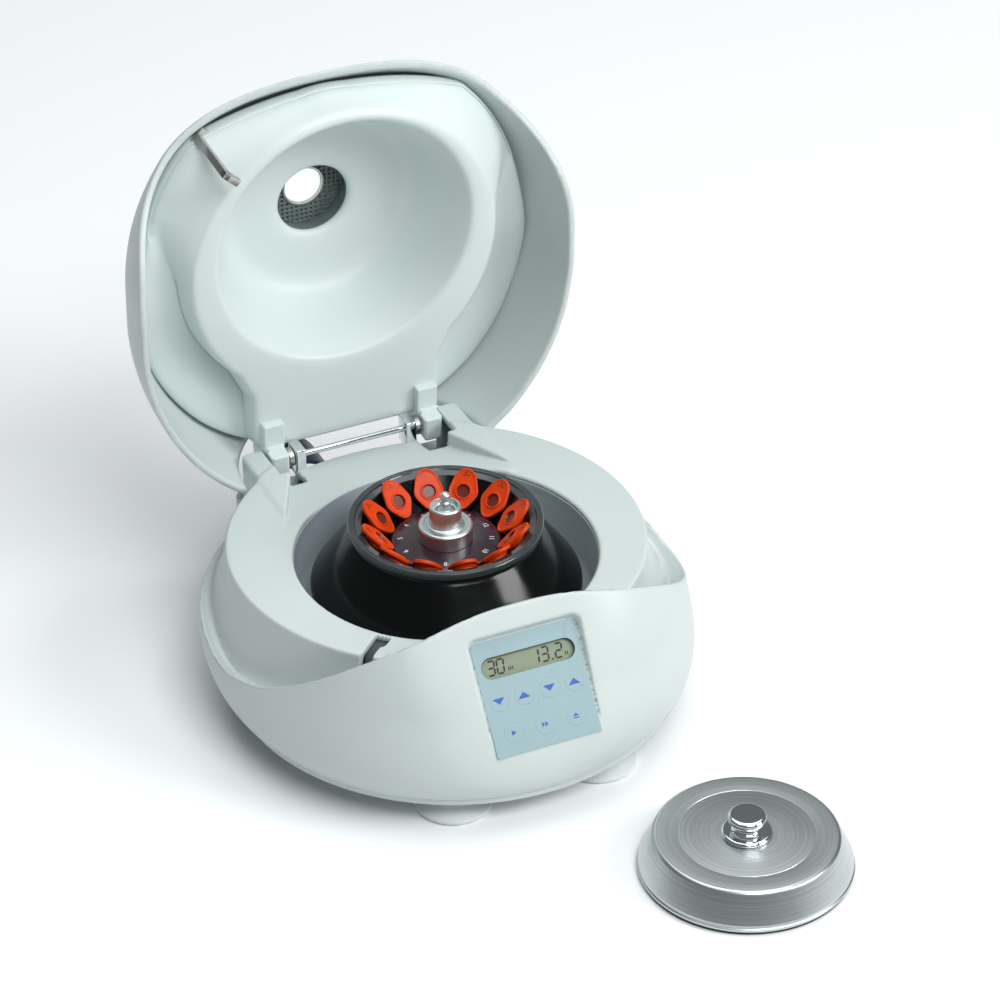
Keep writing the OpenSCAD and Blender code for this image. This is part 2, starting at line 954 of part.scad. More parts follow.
module lid_liner() {
  t = 2.4;
  color(shell_white)
    open_lid()
      difference() {
        union() {
          difference() {
            intersection() {
              translate([0, liner_y, liner_z])
                cylinder(h = t, r = liner_r);
              translate([0, 119, liner_z - 1])
                cylinder(h = 10, r = 185);
            }
            pear(t, liner_z - 1, liner_z + 10);
          }
          difference() {
            pear(0, boss_low, liner_z + t);
            pear(t, boss_low + t, liner_z + 10);
          }
          translate([0, 0, boss_low])
            cylinder(h = dish_top + t - boss_low, r1 = dish_r + t, r2 = dish_floor_r + t);
          for (x = [-43.5, 34.5])
            lid_arm(x);
        }
        translate([0, 0, boss_low - eps])
          cylinder(h = dish_top - boss_low, r1 = dish_r, r2 = dish_floor_r);
        translate([0, 0, dish_top - 1])
          cylinder(h = 20, r = window_r);
        along_hinge(-60, 120, rod_r + 0.05);
      }
}

module window_lens() {
  color([0.80, 0.88, 0.90])
    open_lid()
      translate([0, 0, closed_h - 4.6])
        rotate_extrude()
          polygon([[0, 0], [9.4, 0], [9.4, 1.7], [8, 1.7], [8, 4.4], [0, 4.9]]);
}

module window_ring() {
  color(steel)
    open_lid()
      translate([0, 0, closed_h - 6.6])
        difference() {
          cylinder(h = 2, r = 10.6);
          translate([0, 0, -1])
            cylinder(h = 4, r = 7.4);
          for (i = [0 : 11])
            rotate([0, 0, i * 30])
              translate([8.8, -1, -1])
                cube([4, 2, 4]);
        }
}

module lid_hook() {
  color(steel)
    open_lid()
      lock_place() {
        translate([-2.1, hook_y, 60.4])
          cube([3.6, 3.4, hook_top - 61]);
        translate([-2.1, hook_y, 60.4])
          cube([3.6, 9.5, 3.6]);
        difference() {
          translate([-4.8, hook_y, hook_top - 1.8])
            cube([9.6, 17.7, 1.8]);
          for (y = [-79.3, -72.3])
            translate([0, y, hook_top - 4])
              cylinder(h = 6, r = 1.6);
        }
      }
}

module hook_screws() {
  color(steel)
    open_lid()
      lock_place()
        for (y = [-79.3, -72.3])
          translate([0, y, hook_top - 3.4]) {
            cylinder(h = 1.6, r = 2.9);
            cylinder(h = 3.4, r = 1.6);
          }
}

// ---------------------------------------------------------------- loose rotor lid

module cover_place() {
  translate([cover_x, -cover_y, 0])
    children();
}

module rotor_cover() {
  color(steel)
    cover_place()
      rotate_extrude()
        polygon([[3.1, cover_h - 1.8], [38.6, cover_h - 1.8], [44.8, 5], [44.8, 1.4], [cover_r - 0.4, 1.4],
          [cover_r, 1.9], [cover_r, 2.8], [cover_r - 0.7, 3.3], [cover_r - 0.9, 3.8], [cover_r - 0.4, 4.5],
          [cover_r - 0.9, 5.4], [40.9, cover_h - 0.8], [39.7, cover_h], [3.1, cover_h]]);
}

module cover_seal() {
  color(dark_grey)
    cover_place()
      rotate_extrude()
        polygon([[43.6, 0.3], [44, 0], [46.4, 0], [46.8, 0.3], [46.8, 1.4], [43.6, 1.4]]);
}

module cover_knob() {
  color(steel)
    cover_place()
      rotate_extrude()
        polygon([[0, 11], [3, 11], [3, cover_h + 0.05], [10.8, cover_h + 0.05], [11.3, cover_h + 0.6],
          [11.3, 19.6], [10.6, 20.4], [6.6, 20.6], [5.4, 21.6], [5.2, 23.4], [6, 24.6], [8, 25.2], [8.6, 26],
          [8.6, 27.6], [8, 28.4], [6.8, 28.7], [0, 28.8]]);
}

module cover_screw() {
  color(steel)
    cover_place()
      difference() {
        translate([0, 0, 12.6])
          cylinder(h = 3.7, r = 6.5);
        cylinder(h = 40, r = 3);
      }
}

housing();
base_plate();
bowl();
shaft_seal();
feet();
base_screws();
motor_case();
motor_flange();
motor_stator();
motor_dampers();
shaft_bearings();
motor_shaft();
rotor_body();
rotor_disc();
sample_tubes();
rotor_nut();
speed_sensor();
power_board();
transformer();
board_posts();
control_board();
display_module();
display_window();
keypad_foil();
key_time_down();
key_time_up();
key_speed_down();
key_speed_up();
key_start();
key_short();
key_open();
mains_inlet();
inlet_hood();
switch_frame();
power_rocker();
hinge_brackets();
hinge_rod();
hinge_washers();
lock_frame();
lock_slide();
lock_solenoid();
lid_shell();
lid_liner();
window_lens();
window_ring();
lid_hook();
hook_screws();
rotor_cover();
cover_seal();
cover_knob();
cover_screw();
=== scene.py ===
import math

import bmesh
import bpy
import numpy as np
from mathutils import Matrix, Vector


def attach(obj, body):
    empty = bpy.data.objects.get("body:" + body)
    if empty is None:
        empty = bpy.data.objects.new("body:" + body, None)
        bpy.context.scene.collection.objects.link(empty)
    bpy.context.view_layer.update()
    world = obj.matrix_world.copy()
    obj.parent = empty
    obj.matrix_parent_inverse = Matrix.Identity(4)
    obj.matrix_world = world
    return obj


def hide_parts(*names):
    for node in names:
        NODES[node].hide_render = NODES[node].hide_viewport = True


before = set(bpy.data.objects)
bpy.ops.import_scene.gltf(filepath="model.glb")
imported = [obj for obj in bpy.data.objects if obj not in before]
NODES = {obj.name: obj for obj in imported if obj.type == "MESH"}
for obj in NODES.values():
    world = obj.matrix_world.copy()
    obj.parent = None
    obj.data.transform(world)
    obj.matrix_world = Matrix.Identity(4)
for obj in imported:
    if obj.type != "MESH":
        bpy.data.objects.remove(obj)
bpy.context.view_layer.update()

MM = 0.001

# ------------------------------------------------------------------ camera, floor and lights

AZIMUTH, ELEVATION, ROLL = math.radians(-24.34), math.radians(33.86), math.radians(-0.46)
CAMERA_DISTANCE = 1.918
CAMERA_LENS = 152.226
CAMERA_AIM = Vector((0, 0, 0.060))
AIM_RIGHT, AIM_UP = 0.02433, 0.03247
SENSOR_WIDTH = 36
FLOOR_RADIUS = 9
WORLD_COLOUR, WORLD_STRENGTH = (0.90, 0.96, 1.0, 1), 0.17


def add_object(name, data):
    obj = bpy.data.objects.new(name, data)
    bpy.context.scene.collection.objects.link(obj)
    return obj


def bmesh_object(name, bm, *materials):
    """An object from a bmesh, which is freed."""
    mesh = bpy.data.meshes.new(name)
    bm.to_mesh(mesh)
    bm.free()
    for material in materials:
        mesh.materials.append(material)
    return add_object(name, mesh)


def add_camera():
    flat = math.cos(ELEVATION)
    back = Vector((math.sin(AZIMUTH) * flat, -math.cos(AZIMUTH) * flat, math.sin(ELEVATION)))
    flat_right = Vector((math.cos(AZIMUTH), math.sin(AZIMUTH), 0))
    flat_up = back.cross(flat_right)
    right = flat_right * math.cos(ROLL) + flat_up * math.sin(ROLL)
    up = flat_up * math.cos(ROLL) - flat_right * math.sin(ROLL)
    data = bpy.data.cameras.new("camera")
    data.lens = CAMERA_LENS
    data.sensor_width = SENSOR_WIDTH
    data.clip_start, data.clip_end = 0.1, 20
    camera = add_object("camera", data)
    place = CAMERA_AIM + right * AIM_RIGHT + up * AIM_UP + back * CAMERA_DISTANCE
    turn = Matrix((right, up, back)).transposed().to_4x4()
    camera.matrix_world = Matrix.Translation(place) @ turn
    bpy.context.scene.camera = camera


def add_light(name, place, aim, size, power, colour):
    data = bpy.data.lights.new(name, "AREA")
    data.shape = "RECTANGLE"
    data.size, data.size_y = size
    data.energy = power
    data.color = colour
    light = add_object(name, data)
    light.location = place
    light.rotation_euler = (Vector(aim) - Vector(place)).to_track_quat("-Z", "Y").to_euler()


def add_studio():
    bm = bmesh.new()
    bmesh.ops.create_circle(bm, cap_ends=True, segments=64, radius=FLOOR_RADIUS)
    floor = bmesh_object("floor", bm, plain_floor())
    world = bpy.data.worlds.new("world")
    bpy.context.scene.world = world
    world.use_nodes = True
    background = world.node_tree.nodes["Background"]
    background.inputs["Color"].default_value = WORLD_COLOUR
    background.inputs["Strength"].default_value = WORLD_STRENGTH
    add_light("key", (1.6, -1.45, 1.35), (0, 0, 0.1), (1.0, 0.9), 30, (1, 1, 0.99))
    add_light("top", (0.2, 0.4, 2.2), (0, 0, 0), (2.2, 2.2), 32, (0.98, 1, 1))
    add_light("front_high", (0.1, -1.5, 2.0), (0, 0.1, 0.15), (1.3, 0.9), 26, (0.97, 0.99, 1))
    scene = bpy.context.scene
    scene.view_settings.view_transform = "Standard"
    scene.view_settings.look = "None"


# ------------------------------------------------------------------ materials

def new_material(name):
    material = bpy.data.materials.new(name)
    material.use_nodes = True
    nodes = material.node_tree.nodes
    return material, nodes, material.node_tree.links, nodes["Principled BSDF"]


def plain_floor():
    material, _, _, shader = new_material("pale_floor")
    shader.inputs["Base Color"].default_value = (0.93, 0.94, 0.95, 1)
    shader.inputs["Roughness"].default_value = 0.55
    shader.inputs["Specular IOR Level"].default_value = 0.25
    return material


def add_noise(nodes, links, scale, detail=3, roughness=0.5, coords=None):
    noise = nodes.new("ShaderNodeTexNoise")
    noise.inputs["Scale"].default_value = scale
    noise.inputs["Detail"].default_value = detail
    noise.inputs["Roughness"].default_value = roughness
    if coords is None:
        coords = nodes.new("ShaderNodeTexCoord").outputs["Object"]
    links.new(coords, noise.inputs["Vector"])
    return noise.outputs["Fac"]


def add_ramp(nodes, links, value, stops):
    ramp = nodes.new("ShaderNodeValToRGB")
    while len(ramp.color_ramp.elements) > 1:
        ramp.color_ramp.elements.remove(ramp.color_ramp.elements[-1])
    first = True
    for place, colour in stops:
        element = ramp.color_ramp.elements[0] if first else ramp.color_ramp.elements.new(place)
        element.position = place
        element.color = (*colour, 1) if len(colour) == 3 else colour
        first = False
    links.new(value, ramp.inputs["Fac"])
    return ramp.outputs["Color"]


def add_bump(nodes, links, shader, height, strength, distance):
    bump = nodes.new("ShaderNodeBump")
    bump.inputs["Strength"].default_value = strength
    bump.inputs["Distance"].default_value = distance
    links.new(height, bump.inputs["Height"])
    links.new(bump.outputs["Normal"], shader.inputs["Normal"])


def grey(value):
    return (value, value, value)


def scaled(colour, factor):
    return tuple(min(1, c * factor) for c in colour)


def plastic(name, colour, roughness=0.35, spread=0.04, grain=900, bump=0.06, coat=0.0, specular=0.5):
    """Moulded plastic: slight colour drift, a fine spark-eroded grain and drifting gloss."""
    material, nodes, links, shader = new_material(name)
    drift = add_noise(nodes, links, 14, 4, 0.6)
    shades = [(0.3, scaled(colour, 1 - spread)), (0.7, scaled(colour, 1 + spread * 0.4))]
    links.new(add_ramp(nodes, links, drift, shades), shader.inputs["Base Color"])
    gloss = add_noise(nodes, links, 60, 3, 0.6)
    levels = [(0.3, grey(roughness - 0.04)), (0.7, grey(roughness + 0.05))]
    links.new(add_ramp(nodes, links, gloss, levels), shader.inputs["Roughness"])
    shader.inputs["Specular IOR Level"].default_value = specular
    if coat:
        shader.inputs["Coat Weight"].default_value = coat
        shader.inputs["Coat Roughness"].default_value = 0.08
    add_bump(nodes, links, shader, add_noise(nodes, links, grain, 2, 0.5), bump, 0.0002)
    return material


def metal(name, colour, roughness=0.28, centre=None, axis="Z", lines=0.35, bump=0.12, cell=900,
          smudge=0.06):
    """Metal with fine turning or brushing lines: rings round a centre, or straight along an axis."""
    material, nodes, links, shader = new_material(name)
    shader.inputs["Metallic"].default_value = 1
    coords = nodes.new("ShaderNodeTexCoord").outputs["Object"]
    mapping = nodes.new("ShaderNodeMapping")
    mapping.vector_type = "POINT"
    if centre is not None:
        mapping.inputs["Location"].default_value = tuple(-c for c in centre)
    links.new(coords, mapping.inputs["Vector"])
    if centre is not None:
        # rings: noise over the distance from the axis and the height
        split = nodes.new("ShaderNodeSeparateXYZ")
        links.new(mapping.outputs["Vector"], split.inputs["Vector"])
        flat = {"Z": ("X", "Y"), "X": ("Y", "Z"), "Y": ("X", "Z")}[axis]
        join = nodes.new("ShaderNodeCombineXYZ")
        links.new(split.outputs[flat[0]], join.inputs["X"])
        links.new(split.outputs[flat[1]], join.inputs["Y"])
        length = nodes.new("ShaderNodeVectorMath")
        length.operation = "LENGTH"
        links.new(join.outputs["Vector"], length.inputs[0])
        ring = nodes.new("ShaderNodeCombineXYZ")
        links.new(length.outputs["Value"], ring.inputs["X"])
        links.new(split.outputs[axis], ring.inputs["Y"])
        vector = ring.outputs["Vector"]
    else:
        stretch = nodes.new("ShaderNodeMapping")
        scale = {"X": (0.02, 1, 1), "Y": (1, 0.02, 1), "Z": (1, 1, 0.02)}[axis]
        stretch.inputs["Scale"].default_value = scale
        links.new(mapping.outputs["Vector"], stretch.inputs["Vector"])
        vector = stretch.outputs["Vector"]
    fine = add_noise(nodes, links, cell, 3, 0.7, vector)
    smears = add_noise(nodes, links, 30, 4, 0.6)
    shades = [(0.3, scaled(colour, 1 - lines * 0.4)), (0.7, scaled(colour, 1 + lines * 0.15))]
    links.new(add_ramp(nodes, links, fine, shades), shader.inputs["Base Color"])
    mix = nodes.new("ShaderNodeMath")
    mix.operation = "MULTIPLY_ADD"
    links.new(smears, mix.inputs[0])
    mix.inputs[1].default_value = smudge
    mix.inputs[2].default_value = roughness - smudge * 0.5
    more = nodes.new("ShaderNodeMath")
    more.operation = "MULTIPLY_ADD"
    links.new(fine, more.inputs[0])
    more.inputs[1].default_value = lines * 0.2
    links.new(mix.outputs["Value"], more.inputs[2])
    links.new(more.outputs["Value"], shader.inputs["Roughness"])
    add_bump(nodes, links, shader, fine, bump, 0.0001)
    return material


def paint_node(node, material):
    mesh = NODES[node].data
    mesh.materials.clear()
    mesh.materials.append(material)


def smooth_node(node, angle=35):
    """Shade a carried-over node smooth, except across its sharp edges."""
    mesh = NODES[node].data
    mesh.polygons.foreach_set("use_smooth", np.ones(len(mesh.polygons), bool))
    mesh.set_sharp_from_angle(angle=math.radians(angle))


SHELL = plastic("shell_plastic", (0.56, 0.625, 0.61), 0.40, 0.03, 1400, 0.05)
INNER = plastic("liner_plastic", (0.66, 0.74, 0.725), 0.42, 0.03, 1400, 0.06)
FOIL = plastic("keypad_foil_blue", (0.31, 0.435, 0.47), 0.3, 0.03, 1600, 0.03)
LCD_GLASS = plastic("display_green", (0.28, 0.33, 0.235), 0.16, 0.04, 900, 0.01)
# painted shadow: the dark ring thrown by the display's recess
LCD_PAINTED_SHADOW = plastic("display_shadow", (0.13, 0.14, 0.09), 0.3, 0.1, 900, 0.02)
SEGMENT = plastic("display_segment", (0.012, 0.012, 0.014), 0.4, 0.2, 900, 0.01)
MARK_BLUE = plastic("print_blue", (0.03, 0.11, 0.42), 0.4, 0.1, 1500, 0.02)
MARK_WHITE = plastic("print_white", (0.75, 0.75, 0.78), 0.4, 0.1, 1500, 0.02)
# darker red for painted shade: the caps' dimpled middles and their slits and pin holes
CAP_RECESS_SHADE = plastic("cap_recess_shade", (0.16, 0.018, 0.008), 0.3, 0.3, 700, 0.03)
FOOT = plastic("foot_rubber", (0.70, 0.74, 0.74), 0.5, 0.06, 500, 0.08)
# dark grey-green: painted shade in the well behind the lens
WELL_SHADED = plastic("window_well_shaded", (0.20, 0.25, 0.24), 0.4, 0.06, 900, 0.06)
LENS = plastic("lens_glass", (0.72, 0.82, 0.84), 0.08, 0.03, 500, 0.01, coat=0.5)
# the rotor's black plastic made lighter: painted sheen on the top of the rim
ROTOR_RIM_SHEEN = plastic("rotor_rim_sheen", (0.035, 0.042, 0.045), 0.2, 0.3, 500, 0.02, coat=0.5)
BOWL = plastic("bowl_plastic", (0.50, 0.58, 0.63), 0.33, 0.05, 900, 0.05)
ROTOR = plastic("rotor_black", (0.002, 0.0022, 0.0024), 0.16, 0.3, 500, 0.02, specular=0.3)
PLUM = plastic("disc_plum", (0.028, 0.008, 0.018), 0.2, 0.3, 500, 0.02, coat=0.5)
TUBE = plastic("tube_orange", (0.66, 0.05, 0.002), 0.38, 0.08, 700, 0.05, specular=0.25)
RUBBER = plastic("rubber_black", (0.015, 0.015, 0.016), 0.6, 0.2, 400, 0.15)
DARK = plastic("connector_dark", (0.03, 0.05, 0.08), 0.4, 0.2, 600, 0.1)
BOARD = plastic("board_green", (0.02, 0.12, 0.05), 0.35, 0.3, 300, 0.1)
STEEL = metal("steel_turned", (0.62, 0.66, 0.65), 0.34, (0, 0, 0))
STEEL_PLAIN = metal("steel_brushed", (0.55, 0.55, 0.53), 0.3, None, "X")
CHROME = metal("chrome", (0.75, 0.78, 0.8), 0.08, None, "X", 0.05, 0.02)
BRASS = metal("brass", (0.7, 0.5, 0.25), 0.3, None, "X")
COVER = metal("cover_steel", (0.62, 0.66, 0.66), 0.27, (0.061, -0.1805, 0), "Z", 0.5, 0.2, 1400)

# the lens glows a little: a painted highlight, since the lens is no lamp
lens_painted_highlight = LENS.node_tree.nodes["Principled BSDF"]
lens_painted_highlight.inputs["Emission Color"].default_value = (0.9, 1, 1, 1)
lens_painted_highlight.inputs["Emission Strength"].default_value = 0.7

PAINT = (
    (SHELL, tuple(NODES)),
    (BOWL, ("bowl",)),
    (ROTOR, ("rotor_body",)),
    (PLUM, ("rotor_disc",)),
    (TUBE, ("sample_tubes",)),
    (RUBBER, ("shaft_seal", "motor_dampers", "cover_seal")),
    (DARK, ("mains_inlet", "inlet_hood", "switch_frame", "power_rocker", "motor_case", "lock_solenoid")),
    (BOARD, ("power_board", "control_board", "speed_sensor")),
    (STEEL, ("rotor_nut", "motor_shaft")),
    (STEEL_PLAIN, ("motor_flange", "shaft_bearings", "hinge_rod", "hinge_washers", "lock_frame",
                   "lock_slide",
                   "lid_hook", "hook_screws", "base_screws", "window_ring", "cover_screw")),
    (CHROME, ("hinge_brackets", "cover_knob")),
    (BRASS, ("board_posts", "motor_stator", "transformer")),
    (COVER, ("rotor_cover",)),
)
for material, names in PAINT:
    for name in names:
        paint_node(name, material)
for name in NODES:
    smooth_node(name)

# ------------------------------------------------------------------ shape tools (millimetres)

def smax(a, b, k):
    """The larger of two distances, blended over k: the rounded edge of what both leave."""
    h = np.clip(0.5 + 0.5 * (a - b) / k, 0, 1)
    return b + (a - b) * h + k * h * (1 - h)


def smin(a, b, k):
    return -smax(-a, -b, k)


def box2(x, y, half_x, half_y, corner=0.0):
    dx, dy = np.abs(x) - half_x + corner, np.abs(y) - half_y + corner
    return np.hypot(np.maximum(dx, 0), np.maximum(dy, 0)) + np.minimum(np.maximum(dx, dy), 0) - corner


def box3(x, y, z, half, corner=0.0):
    dx, dy, dz = (np.abs(value) - reach + corner for value, reach in zip((x, y, z), half))
    outside = np.sqrt(np.maximum(dx, 0) ** 2 + np.maximum(dy, 0) ** 2 + np.maximum(dz, 0) ** 2)
    return outside + np.minimum(np.maximum(dx, np.maximum(dy, dz)), 0) - corner


BLOCK = 8
BLOCKS_AT_ONCE = 2000


def sample_field(field, low, high, step):
    """The field on a lattice, worked out only near its surface."""
    low, high = np.array(low, float), np.array(high, float)
    blocks = np.ceil((high - low) / step / BLOCK).astype(int)
    centres = [low[i] + step * BLOCK * (np.arange(blocks[i]) + 0.5) for i in range(3)]
    grid = np.meshgrid(*centres, indexing="ij")
    coarse = field(*grid)
    near = np.abs(coarse) < step * BLOCK * 2.0
    values = np.broadcast_to(coarse[..., None, None, None], (*blocks, BLOCK, BLOCK,
        BLOCK)).astype(np.float32)
    where = np.argwhere(near)
    local = np.stack(np.meshgrid(*[np.arange(BLOCK)] * 3, indexing="ij"), -1).reshape(-1, 3)
    for start in range(0, len(where), BLOCKS_AT_ONCE):
        part = where[start:start + BLOCKS_AT_ONCE]
        points = low + step * (part[:, None, :] * BLOCK + local[None])
        result = field(points[..., 0], points[..., 1], points[..., 2])
        values[part[:, 0], part[:, 1], part[:, 2]] = result.reshape(-1, BLOCK, BLOCK, BLOCK)
    return values.transpose(0, 3, 1, 4, 2, 5).reshape(tuple(blocks * BLOCK)), low


def surface_of(field, low, high, step):
    """Points, quads and normals of the field's zero surface: surface nets, then pulled on to it."""
    values, low = sample_field(field, low, high, step)
    inside = values < 0
    shape = np.array(values.shape)
    cells, places, quads = [], [], []
    strides = np.array([shape[1] * shape[2], shape[2], 1])
    for axis in range(3):
        one, two = [slice(None)] * 3, [slice(None)] * 3
        one[axis], two[axis] = slice(0, -1), slice(1, None)
        a, b = inside[tuple(one)], inside[tuple(two)]
        found = np.argwhere(a != b)
        ok = np.all((found > 0) & (found < shape - 2), axis=1)
        found = found[ok]
        v0 = values[tuple(found.T)].astype(float)
        step_axis = np.zeros(3, int)
        step_axis[axis] = 1
        v1 = values[tuple((found + step_axis).T)].astype(float)
        t = v0 / (v0 - v1)
        point = found + t[:, None] * step_axis
        u, w = (axis + 1) % 3, (axis + 2) % 3
        ring = []
        for du, dw in ((0, 0), (-1, 0), (-1, -1), (0, -1)):
            cell = found.copy()
            cell[:, u] += du
            cell[:, w] += dw
            ring.append(cell @ strides)
        ring = np.stack(ring, 1)
        flip = ~inside[tuple(found.T)]
        ring[flip] = ring[flip][:, ::-1]
        quads.append(ring)
        cells.append(ring.reshape(-1))
        places.append(np.repeat(point, 4, axis=0))
    ids, inverse = np.unique(np.concatenate(cells), return_inverse=True)
    places = np.concatenate(places)
    count = np.bincount(inverse)
    points = np.stack([np.bincount(inverse, places[:, i]) / count for i in range(3)], 1) * step + low
    quads = np.searchsorted(ids, np.concatenate(quads))

    def slope(p, reach=0.2):
        out = np.empty_like(p)
        for i in range(3):
            d = np.zeros(3)
            d[i] = reach
            out[:, i] = (field(*(p + d).T) - field(*(p - d).T)) / (2 * reach)
        return out

    for _ in range(2):
        g = slope(points)
        size = np.maximum((g * g).sum(1), 0.05)
        move = field(*points.T)[:, None] * g / size[:, None]
        length = np.linalg.norm(move, axis=1, keepdims=True)
        points -= move * np.minimum(1, 0.5 * step / np.maximum(length, 1e-9))
    g = slope(points)
    normals = g / np.maximum(np.linalg.norm(g, axis=1, keepdims=True), 1e-9)
    return points, quads, normals


def quad_object(name, points, quads, normals=None, place=None, material=None):
    """A mesh object from arrays; points in millimetres, moved by the matrix place."""
    if place is not None:
        turn = np.array(place.to_3x3())
        points = points @ turn.T + np.array(place.translation)
        normals = None if normals is None else normals @ turn.T
    mesh = bpy.data.meshes.new(name)
    quads = np.asarray(quads, np.int32)
    mesh.vertices.add(len(points))
    mesh.vertices.foreach_set("co", (np.asarray(points) * MM).astype(np.float32).reshape(-1))
    mesh.loops.add(quads.size)
    mesh.loops.foreach_set("vertex_index", quads.reshape(-1))
    mesh.polygons.add(len(quads))
    mesh.polygons.foreach_set("loop_start", np.arange(0, quads.size, quads.shape[1], dtype=np.int32))
    mesh.update(calc_edges=True)
    mesh.validate()
    mesh.polygons.foreach_set("use_smooth", np.ones(len(mesh.polygons), bool))
    if normals is not None:
        mesh.normals_split_custom_set_from_vertices([tuple(n) for n in normals])
    if material is not None:
        mesh.materials.append(material)
    return add_object(name, mesh)


def around(count):
    """Angles once round, with their cosines and sines."""
    t = np.arange(count) * 2 * math.pi / count
    return t, np.cos(t), np.sin(t)


def ring_quads(rings, count):
    """Quads between neighbouring rings of points."""
    index = np.arange(count)
    after = (index + 1) % count
    return np.concatenate([np.stack([k * count + index, k * count + after, (k + 1) * count + after,
        (k + 1) * count + index], 1) for k in range(rings - 1)])


def stand_for(obj, body, *nodes):
    """The object rides with a body, and takes the place of the nodes named."""
    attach(obj, body)
    if nodes:
        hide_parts(*nodes)


# ------------------------------------------------------------------ housing

DECK_Z, LEDGE_Z, WALL = 71.9, 43.0, 3.4
# round wall: radius, centre, height of its widest place, and how it curves in above and below that
BODY_R, BODY_Y, BODY_Z, BODY_UP, BODY_DOWN = 112.0, 3.0, 37, 93.0, 56.6
CHIN_R, CHIN_Y, CHIN_Z, CHIN_UP, CHIN_DOWN = 108.2, -9.5, 28, 53.0, 41.0
WAVE_RISE = 49.0
# the wall's top inside its outer edge: where the band starts and ends, its slope and the slope beyond
BAND_START, BAND_END, BAND_SLOPE, INNER_SLOPE = 1.1, 6.5, 0.72, 1.9
DRUM_R, DRUM_Y, DRUM_FLARE, DRUM_TALL = 96.0, 11.0, 8.0, 27.9
BOWL_OPENING_R = 69.0
VALLEY_Y, VALLEY_FALL = 52.0, math.radians(11.5)
FACE_SLOPE = math.radians(58.4)
FACE_Y, FACE_Z = -82.5, 83.8
PAD_SLOPE = math.radians(54)
PAD_Y, PAD_Z = -80.9, 79.3
PAD_W, PAD_L = 50.0, 51.4
HOOK_TURN = math.radians(47)
KEYS = {"key_time_down": (-18, -27.1), "key_time_up": (-6.2, -27.1), "key_speed_down": (6.2, -27.1),
        "key_speed_up": (18, -27.1), "key_start": (-15, -41.9), "key_short": (0, -41.9),
        "key_open": (15, -41.9)}
LCD_W, LCD_H, LCD_Y = 45.0, 9.6, -12.4


def face_plane(y, z):
    return -(y - FACE_Y) * math.sin(FACE_SLOPE) + (z - FACE_Z) * math.cos(FACE_SLOPE)


def pad_coords(x, y, z):
    dy, dz = y - PAD_Y, z - PAD_Z
    c, s = math.cos(PAD_SLOPE), math.sin(PAD_SLOPE)
    return x, dy * c + dz * s, dz * c - dy * s


def pad_matrix():
    """From keypad coordinates (mm) to the frame (mm)."""
    c, s = math.cos(PAD_SLOPE), math.sin(PAD_SLOPE)
    return Matrix(((1, 0, 0, 0), (0, c, -s, PAD_Y), (0, s, c, PAD_Z), (0, 0, 0, 1)))


def hook_coords(x, y):
    c, s = math.cos(HOOK_TURN), math.sin(HOOK_TURN)
    return x * c - y * s, x * s + y * c


def wave(x):
    """Height of the front wall's edge, and its slope."""
    a = np.clip(np.abs(x) / BODY_R, 0, 1)
    return LEDGE_Z + WAVE_RISE * (1 - a ** 2.4), -WAVE_RISE * 2.4 * a ** 1.4 / BODY_R


def body_solid(x, y, z):
    r = np.hypot(x, y - BODY_Y)
    up, down = np.maximum(z - BODY_Z, 0) / BODY_UP, np.maximum(BODY_Z - z, 0) / BODY_DOWN
    root = np.sqrt(np.maximum(1 - up ** 2 - down ** 2, 0.08))
    lean = BODY_R * (up / BODY_UP + down / BODY_DOWN) / root
    wall = (r - BODY_R * root) / np.sqrt(1 + lean ** 2)
    up, down = np.maximum(z - CHIN_Z, 0) / CHIN_UP, np.maximum(CHIN_Z - z, 0) / CHIN_DOWN
    chin = np.hypot(x, y - CHIN_Y) - CHIN_R * np.sqrt(np.maximum(1 - up ** 2 - down ** 2, 0.3))
    d = smin(wall, chin, 7.0)
    d = smax(d, face_plane(y, z), 6.0)
    block = np.maximum(box2(x, y - 61, 57, 61, 7.0), -z)
    d = smin(d, block, 6.0)
    # the wall's top: a crisp outer edge, then down inwards to the ledge with fine steps on the way
    depth = np.clip(-d, 0, 14)
    high, steep = wave(x * (1 + depth / np.maximum(r, 60.0)))
    high = np.where(y < 0, high, LEDGE_Z + 3.5 * np.clip(y / 32.0, 0, 1))
    steps = sum(0.3 / (1 + np.exp(np.clip((at - depth) * 7, -40, 40))) for at in (2.2, 3.8, 5.4))
    band = BAND_SLOPE * np.clip(depth - BAND_START, 0, BAND_END - BAND_START)
    floor = high - 0.2 - band - INNER_SLOPE * np.maximum(depth - BAND_END, 0) - steps
    fall = np.where(depth > BAND_END, INNER_SLOPE, np.where(depth > BAND_START, BAND_SLOPE, 0.0))
    top = (z - np.maximum(floor, 38.0)) / np.sqrt(1 + np.where(y < 0, steep, 0.0) ** 2 + fall ** 2)
    d = smax(d, top, 0.6)
    # drum with its flared foot, under the deck
    low = np.clip((DECK_Z - z) / DRUM_TALL, 0, 1.2)
    drum = np.hypot(x, y - DRUM_Y) - (DRUM_R + DRUM_FLARE * low ** 1.7)
    drum = smax(smax(drum, z - DECK_Z, 1.5), 38 - z, 1.0)
    ears = box2(np.abs(x) - 43.0, y - 80.0, 12.0, 33.0, 2.5)
    ears = smax(smax(ears, z - DECK_Z, 2.0), 20 - z, 1.0)
    d = smin(d, smin(drum, ears, 3.0), 4.0)
    # the floor between the ears falls away to the rear
    above = (DECK_Z - z) * math.cos(VALLEY_FALL) - (y - VALLEY_Y) * math.sin(VALLEY_FALL)
    side = np.abs(x) - (57.0 - np.clip((y - VALLEY_Y) / 55.0, 0, 1) * 26.0)
    valley = smax(smax(side * 0.9, above, 0.8), 40 - y, 1.0)
    return smax(d, -valley, 1.2)


